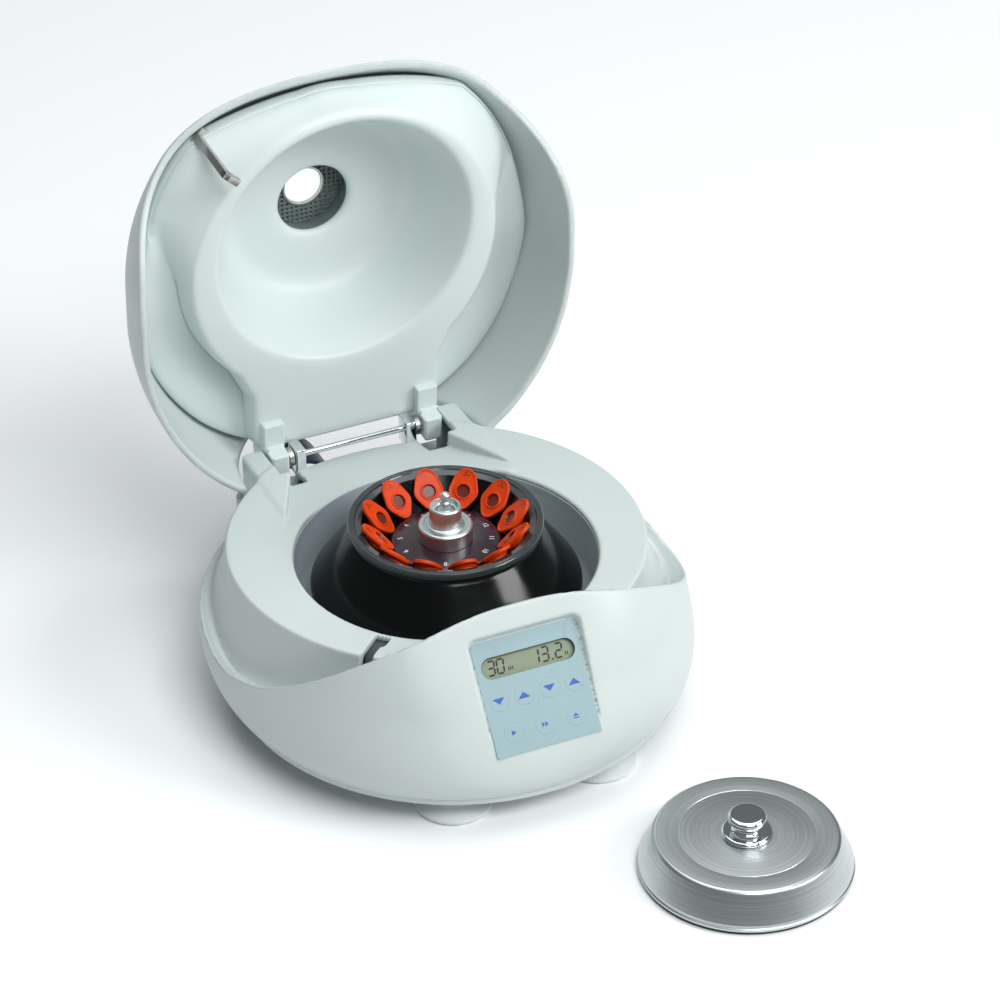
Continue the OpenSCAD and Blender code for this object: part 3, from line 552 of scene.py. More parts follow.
def housing_field(x, y, z):
    d = body_solid(x, y, z)
    d = smax(d, -(d + WALL), 0.4)
    d = smax(d, 16.0 - z, 1.0)
    px, py, pz = pad_coords(x, y, z)
    tray = np.maximum(box2(px, py + PAD_L / 2, PAD_W / 2 + 6, PAD_L / 2 + 5), np.abs(pz) - 7.0)
    d = smin(d, np.maximum(tray, body_solid(x, y, z) + 1.2), 0.5)
    flare = np.maximum(pz, 0) * 0.35
    recess = np.maximum(box2(px, py + PAD_L / 2, PAD_W / 2 + 0.8 + flare, PAD_L / 2 + 0.6 + flare, 4.0),
                        -pz - 0.5)
    d = smax(d, -np.maximum(recess, pz - 14), 0.9)
    keys = np.full_like(px, 1e3)
    for kx, ky in KEYS.values():
        keys = np.minimum(keys, np.hypot(px - kx, py - ky) - 4.6)
    keys = np.minimum(keys, box2(px, py - LCD_Y, LCD_W / 2 + 0.4, LCD_H / 2 + 0.4, LCD_H / 2 + 0.4))
    d = smax(d, -np.maximum(keys, np.abs(pz) - 8), 0.3)
    # bowl opening, with a soft lip
    hole = BOWL_OPENING_R - np.hypot(x, y)
    d = smax(d, np.where(z > 58, hole, hole - (58 - z) * 2), 2.2)
    # lid hook slot
    hx, hy = hook_coords(x, y)
    slot = np.minimum(box2(hx + 0.4, hy + 81.2, 2.6, 9.6, 0.4), box2(hx - 0.5, hy + 75.2, 3.5, 3.6, 0.4))
    d = smax(d, -np.maximum(slot, 58 - z), 0.5)
    # notches for the lid's arms, and the openings in the rear wall
    notch = np.maximum(box2(np.abs(x) - 37.75, y - 109.0, 6.75, 20.0, 0.6), 47.5 - z)
    d = smax(d, -notch, 0.6)
    inlet = np.maximum(box2(x + 21, z - 31, 14, 10, 0.8), 112 - y)
    switch = np.maximum(box2(x - 23.5, z - 31, 13.5, 7, 0.8), 112 - y)
    return smax(d, -np.minimum(inlet, switch), 0.4)


# ------------------------------------------------------------------ lid, drawn closed and then opened

HINGE = Vector((0, 108.5, 66.8))
OPEN_ANGLE = math.radians(-87)
OPEN = Matrix.Translation(HINGE) @ Matrix.Rotation(OPEN_ANGLE, 4, "X") @ Matrix.Translation(-HINGE)
DOME_R, DOME_TALL, DOME_BASE, DOME_POWER = 107.5, 80.0, 50.0, 2.75
# height under PANEL_TOP of the panel's lowest part, as lofted and as kept
PANEL_TOP, PANEL_LOFTED, PANEL_KEPT = 80.0, 9.6, 7.1


def dome_solid(x, y, z):
    a = np.maximum(np.hypot(x, y - np.clip(y, 6.0, 22.0)), 1e-3) / DOME_R
    b = np.maximum(np.maximum(z - DOME_BASE, 0), 1e-3) / DOME_TALL
    s = (a ** DOME_POWER + b ** DOME_POWER) ** (1 / DOME_POWER)
    ga, gb = (a / s) ** (DOME_POWER - 1) / DOME_R, (b / s) ** (DOME_POWER - 1) / DOME_TALL
    d = (s - 1) / np.maximum(np.hypot(ga, gb), 1e-4)
    return smax(d, face_plane(y, z) - 5.5, 26.0)


def lid_rim(y):
    """Height of the lid's lower edge with the lid closed, and its slope."""
    e = 1 / (1 + np.exp(np.clip((y + 33.0) / 10.5, -30, 30)))
    back = np.clip((y - 38.0) / 62.0, 0, 1)
    return 53.0 - 4.7 * back + 44.0 * e, -44.0 / 10.5 * e * (1 - e)


def lid_shell_field(x, y, z):
    d = dome_solid(x, y, z)
    d = smax(d, -(d + WALL), 0.4)
    rim, slope = lid_rim(y)
    d = smax(d, (rim - z) / np.sqrt(1 + slope ** 2), 1.4)
    arch = np.where(z > 50, np.hypot(x, z - 50.0), np.abs(x)) - 60.0
    d = smax(d, -smax(arch, 60 - y, 1.0), 1.4)
    return smax(d, np.where(z > 90, 8.2 - np.hypot(x, y), -50.0), 0.6)


# ------------------------------------------------------------------ lid liner: rings lofted round the dish

def pear_radius(t):
    """Distance from the dish's axis to the edge of the raised plate round it, at the angle t."""
    c, s = np.cos(t), np.sin(t)
    circle = 8.0 * s + np.sqrt(np.maximum(74.0 ** 2 - (8.0 * c) ** 2, 0))
    # the tapering tongue towards the hinge: side lines, then straight sides, then the rear edge
    ac = np.maximum(np.abs(c), 1e-6)
    side = (69.0 + 22.0 * 23 / 52.0) / (ac + s * 23 / 52.0 + 1e-9)
    side = np.where((s > 0) & (ac + s * 23 / 52.0 > 0), side, 1e3)
    straight = 44.8 / ac
    rear = np.where(s > 0.05, 104.0 / np.maximum(s, 0.05), 1e3)
    tongue = np.minimum(np.where(side * s > 74, straight, side), rear)
    tongue = np.where(s > 0.2, tongue, 0)
    return np.maximum(circle, tongue)


def seam_radius(t):
    c, s = np.cos(t), np.sin(t)
    grow = 95.0 + 6.0 * np.clip((s + 0.1) / 0.9, 0, 1) ** 1.3 - 1.8 * np.exp(-((s - 0.0) / 0.25) ** 2)
    circle = 14.0 * s + np.sqrt(np.maximum(grow ** 2 - (14.0 * c) ** 2, 0))
    arc = 119.0 * s + np.sqrt(np.maximum(185.0 ** 2 - (119.0 * c) ** 2, 0))
    rear = np.where(s > 0.05, 108.0 / np.maximum(s, 0.05), 1e3)
    return np.minimum(np.minimum(circle, np.where(s < 0, arc, 1e3)), rear)


def seam_height(y):
    """Height of the flange at the seam: high in front, lower along the sides."""
    return np.interp(y, [-66, -50, -30, -17, -6, 23, 41, 55, 69, 86, 104],
                     [96, 95.5, 93, 90.3, 88.6, 87.6, 89, 89.2, 87.6, 86, 84.5])


def liner_mesh():
    count = 360
    t, c, s = around(count)
    pear, seam = pear_radius(t), seam_radius(t)
    for _ in range(2):
        pear = (np.roll(pear, 1) + 2 * pear + np.roll(pear, -1)) / 4
    side = np.clip((pear * s + 25.0) / 38.0, 0, 1)
    side = side * side * (3 - 2 * side)
    width = np.minimum(18.5 * (1 - side) + 2.6 * side, np.maximum(seam - pear - 0.4, 0.25))
    rings = []
    for r, z in ((19.4, 115.0), (19.4, 113.6), (19.9, 113.0), (23, 112.95), (34, 112.9), (41, 112.4),
                 (45, 111.0),
                 (48.5, 108.2), (51, 104.5), (53.6, 99), (57, 91), (60.4, 83), (62.6, 77.6), (63.6, 75.2),
                 (64.0, 74.0), (64.4, 73.2), (65.1, 72.7)):
        rings.append((np.full(count, r), np.full(count, z)))
    land = np.maximum(pear - 1.0, 65.6)
    rings.append((np.maximum((land + 65.2) / 2, 65.3), np.full(count, 72.6)))
    rings.append((land, np.full(count, 72.6)))
    edge = np.maximum(pear, 66.2)
    rings.append((edge - 0.3, np.full(count, 72.85)))
    rings.append((edge, np.full(count, 73.5)))
    foot = seam_height((edge + width) * s)
    for share, drop in ((0.12, 0.1), (0.35, 0.35), (0.65, 0.68), (0.85, 0.9), (1.0, 0.98), (1.25, 1.0)):
        reach = np.minimum(edge + width * share, seam - 0.6)
        rings.append((np.maximum(reach, edge + 0.05), 73.5 + (foot - 73.5) * drop))
    outer = np.maximum(seam - 0.8, edge + 0.2)
    middle = (np.minimum(edge + width * 1.25, outer) + outer) / 2
    rim_z = seam_height(seam * s)
    rings.append((middle, seam_height(middle * s)))
    rings.append((outer, rim_z))
    rings.append((np.maximum(seam - 0.2, edge + 0.3), rim_z + 0.3))
    rings.append((np.maximum(seam, edge + 0.4), rim_z + 1.0))
    rings.append((np.maximum(seam, edge + 0.4), rim_z + 6.5))
    points = np.concatenate([np.stack([r * c, r * s, z], 1) for r, z in rings])
    return points, ring_quads(len(rings), count)


def add_modifier(obj, kind, **values):
    modifier = obj.modifiers.new(kind.lower(), kind)
    for key, value in values.items():
        setattr(modifier, key, value)
    return modifier


def apply_modifiers(obj):
    graph = bpy.context.evaluated_depsgraph_get()
    mesh = bpy.data.meshes.new_from_object(obj.evaluated_get(graph))
    obj.modifiers.clear()
    obj.data = mesh


def fit_for(step):
    """The lattice step for the surface meshes, used as given."""
    return step * 1.0


def build_housing():
    points, quads, normals = surface_of(housing_field, (-118, -124, 11), (118, 128, 98), fit_for(1.35))
    obj = quad_object("housing_shell", points, quads, normals, material=SHELL)
    stand_for(obj, "base", "housing")


def build_lid_shell():
    points, quads, normals = surface_of(lid_shell_field, (-113, -108, 44), (113, 134, 136), fit_for(1.35))
    obj = quad_object("lid_dome", points, quads, normals, OPEN, SHELL)
    stand_for(obj, "lid", "lid_shell")


def build_liner():
    points, quads = liner_mesh()
    # the panel's lowest part is drawn upwards, off the deck it closes on
    heights = points[:, 2]
    raised = PANEL_TOP - (PANEL_TOP - heights) * PANEL_KEPT / PANEL_LOFTED
    points[:, 2] = np.where(heights < PANEL_TOP, raised, heights)
    obj = quad_object("lid_inner_panel", points, quads, None, OPEN, INNER)
    add_modifier(obj, "SOLIDIFY", thickness=2.2 * MM, offset=1)
    add_modifier(obj, "SUBSURF", levels=1, render_levels=1)
    apply_modifiers(obj)
    stand_for(obj, "lid", "lid_liner")


# ------------------------------------------------------------------ turned pieces

SHARP_EDGE = math.radians(40)


def rounded(profile, corner, parts=4):
    """The profile (r, z) with every inner corner turned into a small arc."""
    points = [np.array(p[:2], float) for p in profile]
    out = [points[0]]
    for k in range(1, len(points) - 1):
        before, here, after = points[k - 1], points[k], points[k + 1]
        one, two = before - here, after - here
        a, b = np.linalg.norm(one), np.linalg.norm(two)
        size = min(profile[k][2] if len(profile[k]) > 2 else corner, a * 0.45, b * 0.45)
        start, end = here + one / a * size, here + two / b * size
        for j in range(parts + 1):
            t = j / parts
            out.append((1 - t) ** 2 * start + 2 * t * (1 - t) * here + t * t * end)
    out.append(points[-1])
    return np.array(out)


def turned(name, profile, corner=0.4, count=192, place=(0, 0), ripple=None, material=None, matrix=None):
    """A lathe form from a rounded profile; ripple=(teeth, depth, low, high) knurls it."""
    line = rounded(profile, corner)
    t, c, s = around(count)
    r = np.repeat(line[:, :1], count, 1)
    if ripple:
        teeth, depth, low, high = ripple
        inside = np.clip((line[:, 1] - low) / 0.4, 0, 1) * np.clip((high - line[:, 1]) / 0.4, 0, 1)
        r = r - inside[:, None] * depth * (0.5 + 0.5 * np.cos(teeth * t))[None]
    points = np.stack([r * c + place[0], r * s + place[1], np.repeat(line[:, 1:], count, 1)], -1)
    obj = quad_object(name, points.reshape(-1, 3), ring_quads(len(line), count), None, matrix, material)
    bm = bmesh.new()
    bm.from_mesh(obj.data)
    bmesh.ops.remove_doubles(bm, verts=bm.verts, dist=1e-6)
    bmesh.ops.recalc_face_normals(bm, faces=bm.faces)
    bm.to_mesh(obj.data)
    bm.free()
    obj.data.set_sharp_from_angle(angle=SHARP_EDGE)
    return obj


def bevelled_box(name, low, high, bevel, material, turn=None):
    """A block with rounded edges between two corners, in millimetres."""
    bm = bmesh.new()
    bmesh.ops.create_cube(bm, size=1)
    middle, size = (Vector(low) + Vector(high)) / 2, Vector(high) - Vector(low)
    for v in bm.verts:
        v.co = Vector([v.co[i] * size[i] + middle[i] for i in range(3)])
    bmesh.ops.bevel(bm, geom=list(bm.edges), offset=bevel, segments=3, profile=0.5, affect="EDGES")
    for v in bm.verts:
        v.co = (turn @ v.co if turn is not None else v.co) * MM
    obj = bmesh_object(name, bm, material)
    obj.data.polygons.foreach_set("use_smooth", np.ones(len(obj.data.polygons), bool))
    obj.data.set_sharp_from_angle(angle=SHARP_EDGE)
    return obj


def joined(name, objects):
    """One object from several, keeping their materials."""
    bm = bmesh.new()
    materials = []
    for obj in objects:
        start = len(bm.faces)
        bm.from_mesh(obj.data)
        bm.faces.ensure_lookup_table()
        slots = []
        for material in obj.data.materials:
            if material not in materials:
                materials.append(material)
            slots.append(materials.index(material))
        for face in bm.faces[start:]:
            face.material_index = slots[face.material_index] if slots else 0
        bpy.data.objects.remove(obj)
    return bmesh_object(name, bm, *materials)


def flat_shapes(name, outlines, height, matrix, material):
    """Thin flat marks, print or painted shade: outlines in a plane, raised a little off it."""
    bm = bmesh.new()
    for outline in outlines:
        low = [bm.verts.new(matrix @ Vector((x, y, 0)) * MM) for x, y in outline]
        high = [bm.verts.new(matrix @ Vector((x, y, height)) * MM) for x, y in outline]
        bm.faces.new(high)
        bm.faces.new(low[::-1])
        for k in range(len(low)):
            j = (k + 1) % len(low)
            bm.faces.new((low[k], low[j], high[j], high[k]))
    bmesh.ops.recalc_face_normals(bm, faces=bm.faces)
    return bmesh_object(name, bm, material)


# ------------------------------------------------------------------ bowl, rotor, tubes and nut

RIM_LOW_Z = 85.3
ROTOR_TURN, TUBE_CIRCLE, SEAT_LOW_R, SEAT_LOW_Z, TUBE_TILT = 20.7, 32.5, 27.0, 76.5, 45.0
PLACES = 12


def build_bowl():
    obj = turned("bowl_shell", [(9, 53.6), (9, 56.4), (27, 56.4, 3), (30, 53, 3), (30.4, 40.5, 2),
        (61, 39.2, 5), (67.6, 44.5, 5), (68.9, 66), (68.9, 69.6), (70.4, 69.6), (70.4, 43, 5),
        (62, 37.4, 4), (28.6, 37.4), (28.6, 53.6), (9, 53.6)], 0.5, 256, material=BOWL)
    stand_for(obj, "base", "bowl")


def build_rotor():
    cone = [(4.1, 58), (31.5, 58, 2), (48.5, 47, 2), (57.5, 47.6, 2), (61, 50, 1.5), (61.8, 53.4, 1.2),
            (61.9, 57.2, 1.5), (43.9, 82.2, 0.4), (42.9, 83.4, 0.4), (42.8, 84.8, 0.3), (44.2, 85.7, 0.4),
            (44.4, 88.2, 0.5), (43.9, 88.95, 0.2), (42.9, 88.95, 0.1), (42.8, 88.75, 0.1), (42.5, 88.75, 0.1),
            (42.4, 88.95, 0.1), (41.4, 88.95, 0.3), (40.9, 88.2, 0.3), (38.2, 87.4, 0.4), (27, 76.2, 0.5),
            (4.1, 76.2)]
    obj = turned("rotor_form", cone, 0.3, 288, material=ROTOR)
    obj.data.materials.append(ROTOR_RIM_SHEEN)
    # faces above RIM_LOW_Z take the lighter copy of the black: painted sheen on the rim
    for face in obj.data.polygons:
        if face.center.z > RIM_LOW_Z * MM:
            face.material_index = 1
    stand_for(obj, "rotor", "rotor_body")
    disc = turned("number_disc", [(4.2, 76.6), (24.9, 76.6), (25.1, 77.5), (24.3, 78.1, 0.8),
        (13, 78.95, 0.5), (4.2, 78.95)], 0.2, 192, material=PLUM)
    stand_for(disc, "rotor", "rotor_disc")
    shaft = turned("shaft_end", [(4, 57.6), (4, 93.8), (2.4, 94.5), (2.35, 98.2), (1.6, 98.8, 0.2),
        (1.6, 99.5, 0.3), (2.2, 100.2, 0.5), (2.35, 101.3, 0.8), (2.0, 102.4, 0.8), (1.1, 103.1, 0.5),
        (0, 103.3)], 0.25, 64, material=STEEL)
    low = turned("shaft_low", [(0, 22.8), (3.95, 22.8), (3.95, 29), (12.3, 29), (12.3, 42), (3.95, 42),
        (3.95, 57.2), (7.4, 57.5), (7.4, 58), (3.9, 58), (0, 58)], 0.2, 96, material=STEEL)
    stand_for(joined("shaft_and_tip", [shaft, low]), "rotor", "motor_shaft")


def digit_text(text, size):
    """Outline mesh of generic digits from the built-in font."""
    curve = bpy.data.curves.new("digits", "FONT")
    curve.body, curve.size = text, size * MM
    curve.align_x, curve.align_y = "CENTER", "CENTER"
    curve.extrude = 0.03 * MM
    obj = add_object("digits", curve)
    graph = bpy.context.evaluated_depsgraph_get()
    mesh = bpy.data.meshes.new_from_object(obj.evaluated_get(graph))
    bpy.data.objects.remove(obj)
    return mesh


def build_disc_numbers():
    parts = []
    for i in range(PLACES):
        angle = math.radians(ROTOR_TURN + 30 * i + 15)
        mesh = digit_text(str(i + 1), 3.4)
        mesh.materials.append(MARK_WHITE)
        place = Matrix.Rotation(angle, 4, "Z") @ Matrix.Translation((20.6 * MM, 0, 78.46 * MM))
        place = place @ Matrix.Rotation(math.radians(4), 4, "Y") @ Matrix.Rotation(math.radians(-90), 4, "Z")
        mesh.transform(place)
        parts.append(add_object("digits", mesh))
    stand_for(joined("disc_numbers", parts), "rotor")


def tube_matrix(i):
    """Tube coordinates: z down the tube, -x up the seat towards the rim."""
    turn = Matrix.Rotation(math.radians(ROTOR_TURN + 30 * i), 4, "Z")
    shift = Matrix.Translation((TUBE_CIRCLE, 0, SEAT_LOW_Z + TUBE_CIRCLE - SEAT_LOW_R))
    return turn @ shift @ Matrix.Rotation(math.radians(180 - TUBE_TILT), 4, "Y")


def cap_outline(t):
    """Oval cap: rounded lug end towards the rim, pointed tab towards the nut."""
    c = np.cos(t)
    lug = 4.0 * np.clip(-c, 0, 1) ** 3.2
    tab = 1.7 * np.clip(c, 0, 1) ** 7
    return 6.9 + lug + tab - 0.35 * np.abs(np.sin(2 * t)) ** 2


def build_caps():
    count = 72
    t, c, s = around(count)
    out = cap_outline(t)
    rings = [(0.05, -2.5), (1.6, -2.45), (2.75, -2.5), (3.0, -2.8), (3.1, -3.5), (3.3, -3.75), (3.75, -3.75),
             (3.95, -3.5), (4.1, -3.3), (out * 0.78, -3.25), (out - 0.9, -3.25), (out - 0.7, -3.42),
             (out - 0.35, -3.42), (out - 0.1, -3.3), (out, -3.05), (out, -2.1), (out - 0.15, -1.8),
             (np.minimum(out - 0.4, 6.2), -1.7), (5.9, -1.0), (5.4, -0.6), (5.4, 15.9), (2.1, 36.2),
             (0.05, 36.4)]
    line = np.concatenate([np.stack([r * c, r * s, np.full(count, z)], 1) for r, z in rings])
    quads = ring_quads(len(rings), count)[:, [0, 3, 2, 1]]
    parts = []
    for i in range(PLACES):
        matrix = tube_matrix(i)
        obj = quad_object("cap", line.copy(), quads, None, matrix, TUBE)
        obj.data.materials.append(CAP_RECESS_SHADE)
        shade_slots = np.zeros(len(quads), np.int32)
        # the first four rings of faces, the cap's dimpled middle, take painted shade
        shade_slots[:count * 4] = 1
        obj.data.polygons.foreach_set("material_index", shade_slots)
        obj.data.set_sharp_from_angle(angle=math.radians(45))
        parts.append(obj)
        # hinge slit and pin hole in the lug, as flat marks of painted shade
        pin = [(0.55 * math.cos(a) - 8.4, 0.55 * math.sin(a)) for a in np.arange(12) * math.pi / 6]
        shaded_openings = [[(-7.6, -1.9), (-7.2, -1.9), (-7.2, 1.9), (-7.6, 1.9)], pin]
        place = matrix @ Matrix.Translation((0, 0, -3.3))
        parts.append(flat_shapes("cap_opening_shade", shaded_openings, 0.06, place, CAP_RECESS_SHADE))
    stand_for(joined("tubes_and_caps", parts), "rotor", "sample_tubes")


def build_nut():
    obj = turned("nut_form", [(4.2, 79.0), (12.3, 79.0, 0.3), (12.45, 86.0, 0.5), (11.6, 86.7, 0.4),
        (9.9, 86.75, 0.2), (9.7, 86.35, 0.1), (8.7, 86.35, 0.1), (8.5, 86.7, 0.3), (7.3, 87.2, 0.4),
        (7.3, 95.6, 0.5), (6.7, 96.3, 0.3), (5.8, 96.35, 0.2), (5.3, 94.3, 0.3), (4.2, 94.2),
        (4.2, 79.0)], 0.25, 360, ripple=(90, 0.22, 79.8, 85.6), material=STEEL)
    stand_for(obj, "nut", "rotor_nut")


# ------------------------------------------------------------------ keypad

def pad_outline(width, top, bottom, corner):
    points = []
    for cx, cy, start in ((width / 2 - corner, top - corner, 0), (-width / 2 + corner, top - corner, 90)):
        for k in range(9):
            a = math.radians(start + 90 * k / 8)
            points.append((cx + corner * math.cos(a), cy + corner * math.sin(a)))
    return points + [(-width / 2, bottom), (width / 2, bottom)]


def stadium_outline(width, height, parts=16):
    points = []
    for side, start in ((1, -90), (-1, 90)):
        for k in range(parts + 1):
            a = math.radians(start + 180 * k / parts)
            points.append((side * (width - height) / 2 + height / 2 * math.cos(a),
                LCD_Y + height / 2 * math.sin(a)))
    return points


SEGMENTS = {"0": "abcdef", "1": "bc", "2": "abged", "3": "abgcd"}


def digit_outlines(symbol, x, y, tall, wide, thick, lean=0.10):
    """Seven-segment shapes of one digit, its lower left corner at (x, y)."""
    half = tall / 2
    bars = {"a": (0, tall, wide, tall), "d": (0, 0, wide, 0), "g": (0, half, wide, half),
            "b": (wide, half, wide, tall), "c": (wide, 0, wide, half), "e": (0, 0, 0, half),
            "f": (0, half, 0, tall)}
    shapes = []
    for name in SEGMENTS[symbol]:
        x0, y0, x1, y1 = bars[name]
        w, gap = thick / 2, thick * 0.16
        if y0 == y1:
            line = [(x0 + gap, y0), (x0 + gap + w, y0 + w), (x1 - gap - w, y0 + w), (x1 - gap, y0),
                    (x1 - gap - w, y0 - w), (x0 + gap + w, y0 - w)]
        else:
            line = [(x0, y0 + gap), (x0 + w, y0 + gap + w), (x0 + w, y1 - gap - w), (x0, y1 - gap),
                    (x0 - w, y1 - gap - w), (x0 - w, y0 + gap + w)]
        shapes.append([(x + px + py * lean, y + py) for px, py in line])
    return shapes


def build_keypad():
    frame_matrix = pad_matrix()
    bm = bmesh.new()
    border = [bm.verts.new((x, y, 0)) for x, y in pad_outline(PAD_W, 0, -PAD_L, 3.4)]
    holes = [[bm.verts.new((x, y, 0)) for x, y in stadium_outline(LCD_W, LCD_H)]]
    for kx, ky in KEYS.values():
        holes.append([bm.verts.new((kx + 4.5 * math.cos(a), ky + 4.5 * math.sin(a), 0))
                      for a in np.arange(32) * math.pi / 16])
    edges = []
    for loop in [border] + holes:
        edges += [bm.edges.new((loop[k], loop[(k + 1) % len(loop)])) for k in range(len(loop))]
    bmesh.ops.triangle_fill(bm, edges=edges, use_beauty=True)
    bmesh.ops.recalc_face_normals(bm, faces=bm.faces)
    made = bmesh.ops.extrude_face_region(bm, geom=list(bm.faces))
    for v in [g for g in made["geom"] if isinstance(g, bmesh.types.BMVert)]:
        v.co.z -= 0.5
    for v in bm.verts:
        v.co = (frame_matrix @ v.co) * MM
    bmesh.ops.recalc_face_normals(bm, faces=bm.faces)
    stand_for(bmesh_object("keypad_foil_sheet", bm, FOIL), "base", "keypad_foil")
    # display: glass, a ring of painted shadow where its recess throws shade, and the digits
    glass = flat_shapes("glass", [stadium_outline(LCD_W + 0.6, LCD_H + 0.6)], 0.5,
                        frame_matrix @ Matrix.Translation((0, 0, -2.3)), LCD_GLASS)
    inner, outer = stadium_outline(LCD_W - 1.1, LCD_H - 1.0), stadium_outline(LCD_W + 0.5, LCD_H + 0.5)
    count = len(outer)
    ring = [[outer[k], outer[(k + 1) % count], inner[(k + 1) % count], inner[k]] for k in range(count)]
    edge = flat_shapes("edge", ring, 0.1, frame_matrix @ Matrix.Translation((0, -0.45, -1.8)), LCD_PAINTED_SHADOW)
    stand_for(joined("display_glass", [glass, edge]), "base", "display_window")
    shapes = []
    for symbol, x in (("3", -19.0), ("0", -14.6), ("1", 2.2), ("3", 6.8), ("2", 13.4)):
        shapes += digit_outlines(symbol, x, LCD_Y - 3.1, 6.2, 3.1, 0.85)
    shapes.append([(11.3, LCD_Y - 3.4), (12.1, LCD_Y - 3.4), (12.2, LCD_Y - 2.6), (11.4, LCD_Y - 2.6)])
    shapes += [[(x, LCD_Y - 2.7), (x + 0.5, LCD_Y - 2.7), (x + 0.6, LCD_Y - 1.2), (x + 0.1, LCD_Y - 1.2)]
               for x in (-9.6, -8.6, -7.6, 17.8, 18.8)]
    place = frame_matrix @ Matrix.Translation((0, 0, -1.78))
    digits = flat_shapes("display_digits", shapes, 0.04, place, SEGMENT)
    stand_for(digits, "base")


def build_keys():
    arrows = {"key_time_down": -1, "key_time_up": 1, "key_speed_down": -1, "key_speed_up": 1}
    signs = {"key_start": [[(-0.9, -1.2), (1.3, 0), (-0.9, 1.2)]],
             "key_short": [[(-1.4, -1.2), (0.0, 0), (-1.4, 1.2)], [(0.2, -1.2), (1.6, 0), (0.2, 1.2)]],
             "key_open": [[(-1.4, -0.2), (1.4, -0.2), (0, 1.3)],
                          [(-1.4, -1.2), (1.4, -1.2), (1.4, -0.7), (-1.4, -0.7)]]}
    for key, way in arrows.items():
        signs[key] = [[(-2.9, -1.4 * way), (2.9, -1.4 * way), (0, 1.4 * way)]]
    profile = [(0, -4.6), (2, -4.6), (2, -1.6), (4.46, -1.6), (4.46, 0.0, 0.05), (3.9, 0.0), (0, 0.0)]
    for key, (kx, ky) in KEYS.items():
        place = pad_matrix() @ Matrix.Translation((kx, ky, 0))
        top = turned("top", profile, 0.05, 48, material=FOIL, matrix=place)
        sign = flat_shapes("sign", signs[key], 0.04, place, MARK_BLUE)
        stand_for(joined(key + "_cap", [top, sign]), key, key)


# ------------------------------------------------------------------ hinge

def lid_arm_field(x, y, z):
    """One arm of the lid, drawn closed: rounded end on the rod, shank and stepped block."""
    end = box2(y - HINGE.y, z - HINGE.z + 0.6, 6.2, 7.2, 2.4)
    foot = box3(x, y - HINGE.y + 0.5, z - HINGE.z - 6.0, (4.5, 6.8, 12.8), 1.6)
    step = box3(x, y - 97.6, z - 76.5, (5.2, 8.0, 8.4), 0.9)
    d = smin(foot, step, 0.6)
    d = np.where(z < 66, np.maximum(d, np.minimum(end, z - 50)), d)
    return smax(d, 1.56 - np.hypot(y - HINGE.y, z - HINGE.z), 0.2)


def build_lid_arms():
    for name, x in (("lid_arm_left", -39.0), ("lid_arm_right", 39.0)):
        points, quads, normals = surface_of(lid_arm_field, (-8, 86, 56), (8, 120, 93), 0.7)
        points[:, 0] += x
        stand_for(quad_object(name, points, quads, normals, OPEN, INNER), "lid")


def build_hinge():
    for side, low in (("left", -30.8), ("right", 25.6)):
        corner, other = (low, HINGE.y - 5.2, 58.0), (low + 5.2, HINGE.y + 5.2, HINGE.z + 5.2)
        block = bevelled_box("hinge_block_" + side, corner, other, 0.7, CHROME)
        if side == "left":
            stand_for(block, "base", "hinge_brackets")
        else:
            stand_for(block, "base")
    turn = Matrix.Translation((0, HINGE.y, HINGE.z)) @ Matrix.Rotation(math.radians(90), 4, "Y")
    rod = turned("hinge_rod_bar", [(0, -46), (1.5, -46), (1.5, 46), (0, 46)], 0.3, 48, material=CHROME,
                 matrix=turn)
    stand_for(rod, "base", "hinge_rod")


# ------------------------------------------------------------------ window and hook in the lid

def build_window():
    profile = [(0, 124.6, 1), (5.5, 124.9, 2), (8.9, 125.6, 1), (9.3, 126.0), (9.3, 127.0), (7.9, 127.2),
               (7.9, 129.6, 0.6), (0, 129.95)]
    lens = turned("lens_dome", profile, 0.3, 96, material=LENS, matrix=OPEN)
    stand_for(lens, "lid", "window_lens")
    profile = [(9.5, 124.2), (10.6, 124.2), (10.6, 126.4), (9.5, 126.4), (9.5, 124.2)]
    ring = turned("ring", profile, 0.25, 96, material=STEEL_PLAIN, matrix=OPEN)
    stand_for(ring, "lid", "window_ring")
    tube = [(20.3, 112.4), (20.3, 125.8), (21.0, 125.8), (21.0, 112.4), (20.3, 112.4)]
    back = [(10.7, 126.6), (20.6, 126.0), (20.6, 125.4), (10.7, 126.0), (10.7, 126.6)]
    parts = [turned("tube", tube, 0.2, 128, material=WELL_SHADED, matrix=OPEN),
             turned("back", back, 0.2, 128, material=WELL_SHADED, matrix=OPEN)]
    # a grid of ribs round the lens, made dark with painted shade
    for i in range(-8, 9):
        at = i * 2.4
        reach = math.sqrt(20.0 ** 2 - at ** 2)
        near = math.sqrt(max(10.9 ** 2 - at ** 2, 0))
        for low, high in (((-reach, -near), (near, reach)) if near else ((-reach, reach),)):
            for one, two in (((at - 0.4, low, 124.6), (at + 0.4, high, 126.2)),
                             ((low, at - 0.4, 124.6), (high, at + 0.4, 126.2))):
                parts.append(bevelled_box("rib", one, two, 0.15, WELL_SHADED, OPEN))
    stand_for(joined("window_well_shaded", parts), "lid")


def build_hook():
    place = OPEN @ Matrix.Rotation(-HOOK_TURN, 4, "Z")
    parts = [bevelled_box("stem", (-2.1, -86.1, 60.4), (1.5, -82.7, 97.4), 0.4, STEEL_PLAIN, place),
             bevelled_box("toe", (-2.1, -86.1, 60.4), (1.5, -76.7, 63.9), 0.5, STEEL_PLAIN, place),
             bevelled_box("foot", (-4.8, -86.1, 96), (4.8, -68.5, 97.8), 0.3, STEEL_PLAIN, place)]
    stand_for(joined("lid_hook_bar", parts), "lid", "lid_hook")


# ------------------------------------------------------------------ feet and the loose rotor lid

FOOT_PLACES = ((35.5, -85.8), (-35.5, -85.8), (56, 70), (-56, 70))
COVER_PLACE = (61, -180.5)


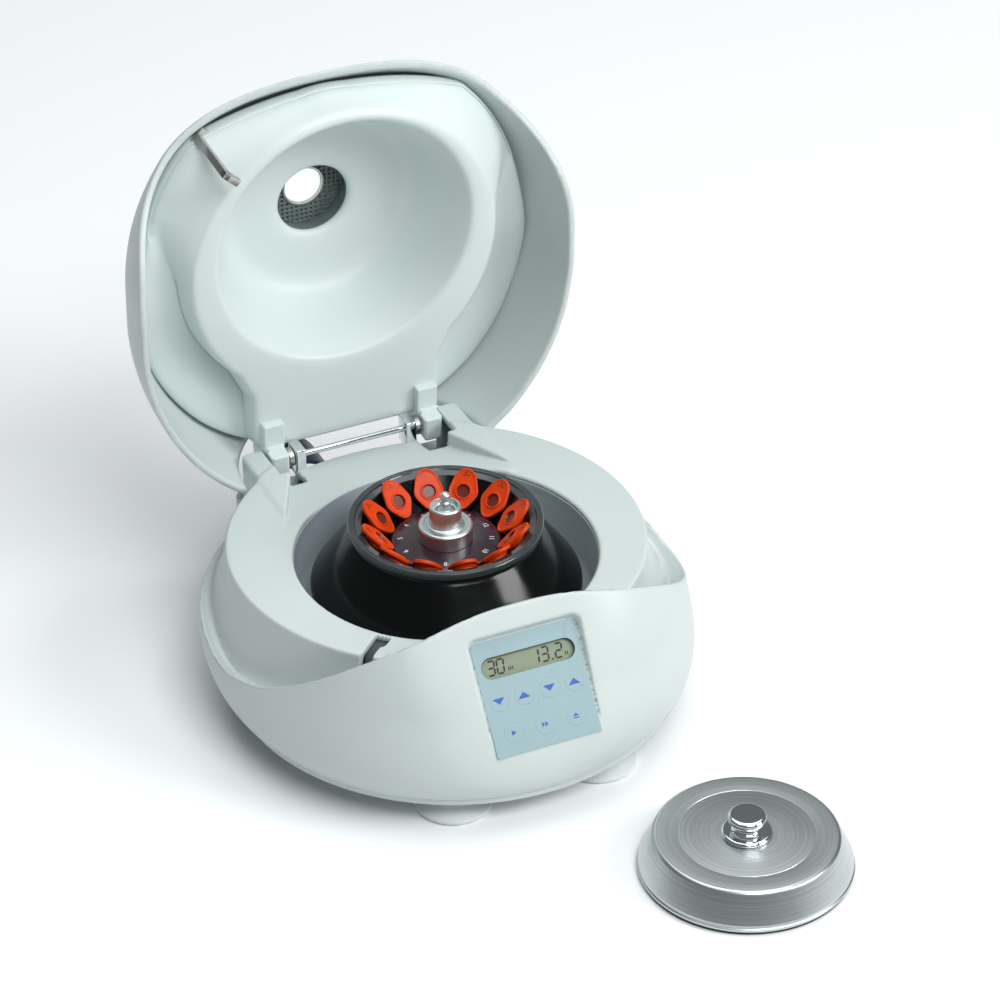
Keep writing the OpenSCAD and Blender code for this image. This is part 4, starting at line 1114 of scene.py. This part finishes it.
def build_feet():
    profile = [(0, 0), (16.6, 0, 0.5), (17.5, 0.9, 0.6), (17.4, 2.3, 0.6), (10.4, 5.2, 2.5), (9.1, 8.2, 2),
               (9, 13), (0, 13)]
    parts = [turned("foot", profile, 0.4, 96, place=place, material=FOOT) for place in FOOT_PLACES]
    stand_for(joined("foot_pads", parts), "base", "feet")


def build_cover():
    cover = turned("cover_pan", [(3.1, 16.4), (38.6, 16.4), (44.7, 5.2), (44.7, 1.4), (47.0, 1.4, 0.3),
        (47.45, 2.1, 0.4), (47.4, 2.9, 0.3), (46.7, 3.3, 0.3), (46.6, 3.8, 0.3), (47.05, 4.4, 0.4),
        (46.6, 5.4, 0.6), (40.9, 17.4, 0.9), (39.7, 18.15, 0.4), (30.2, 18.15, 0.05), (30.1, 18.02, 0.05),
        (29.8, 18.02, 0.05), (29.7, 18.15, 0.05), (3.1, 18.15)], 0.3, 256, place=COVER_PLACE, material=COVER)
    stand_for(cover, "loose_cover", "rotor_cover")
    seal = turned("cover_seal_ring", [(43.7, 1.4), (43.7, 0.3), (44, 0.02), (46.4, 0.02), (46.7, 0.3),
        (46.7, 1.4)], 0.2, 160, place=COVER_PLACE, material=RUBBER)
    stand_for(seal, "loose_cover", "cover_seal")
    knob = turned("cover_knob_form", [(0, 11.2), (2.95, 11.2), (2.95, 18.3), (10.8, 18.3, 0.3),
        (11.25, 18.9, 0.4), (11.25, 19.6, 0.4), (10.5, 20.35, 0.5), (6.6, 20.7, 0.5), (5.35, 21.7, 0.8),
        (5.2, 23.3, 0.8), (6.1, 24.6, 0.8), (8.1, 25.2, 0.5), (8.55, 26, 0.5), (8.55, 27.5, 0.5),
        (7.9, 28.4, 0.5), (6.8, 28.7, 0.4), (0, 28.75)], 0.3, 160, place=COVER_PLACE, material=CHROME)
    stand_for(knob, "knob", "cover_knob")


for build in (build_housing, build_lid_shell, build_liner, build_bowl, build_rotor, build_disc_numbers,
              build_caps, build_nut, build_keypad, build_keys, build_lid_arms, build_hinge, build_window,
              build_hook, build_feet, build_cover):
    build()

add_camera()
add_studio()
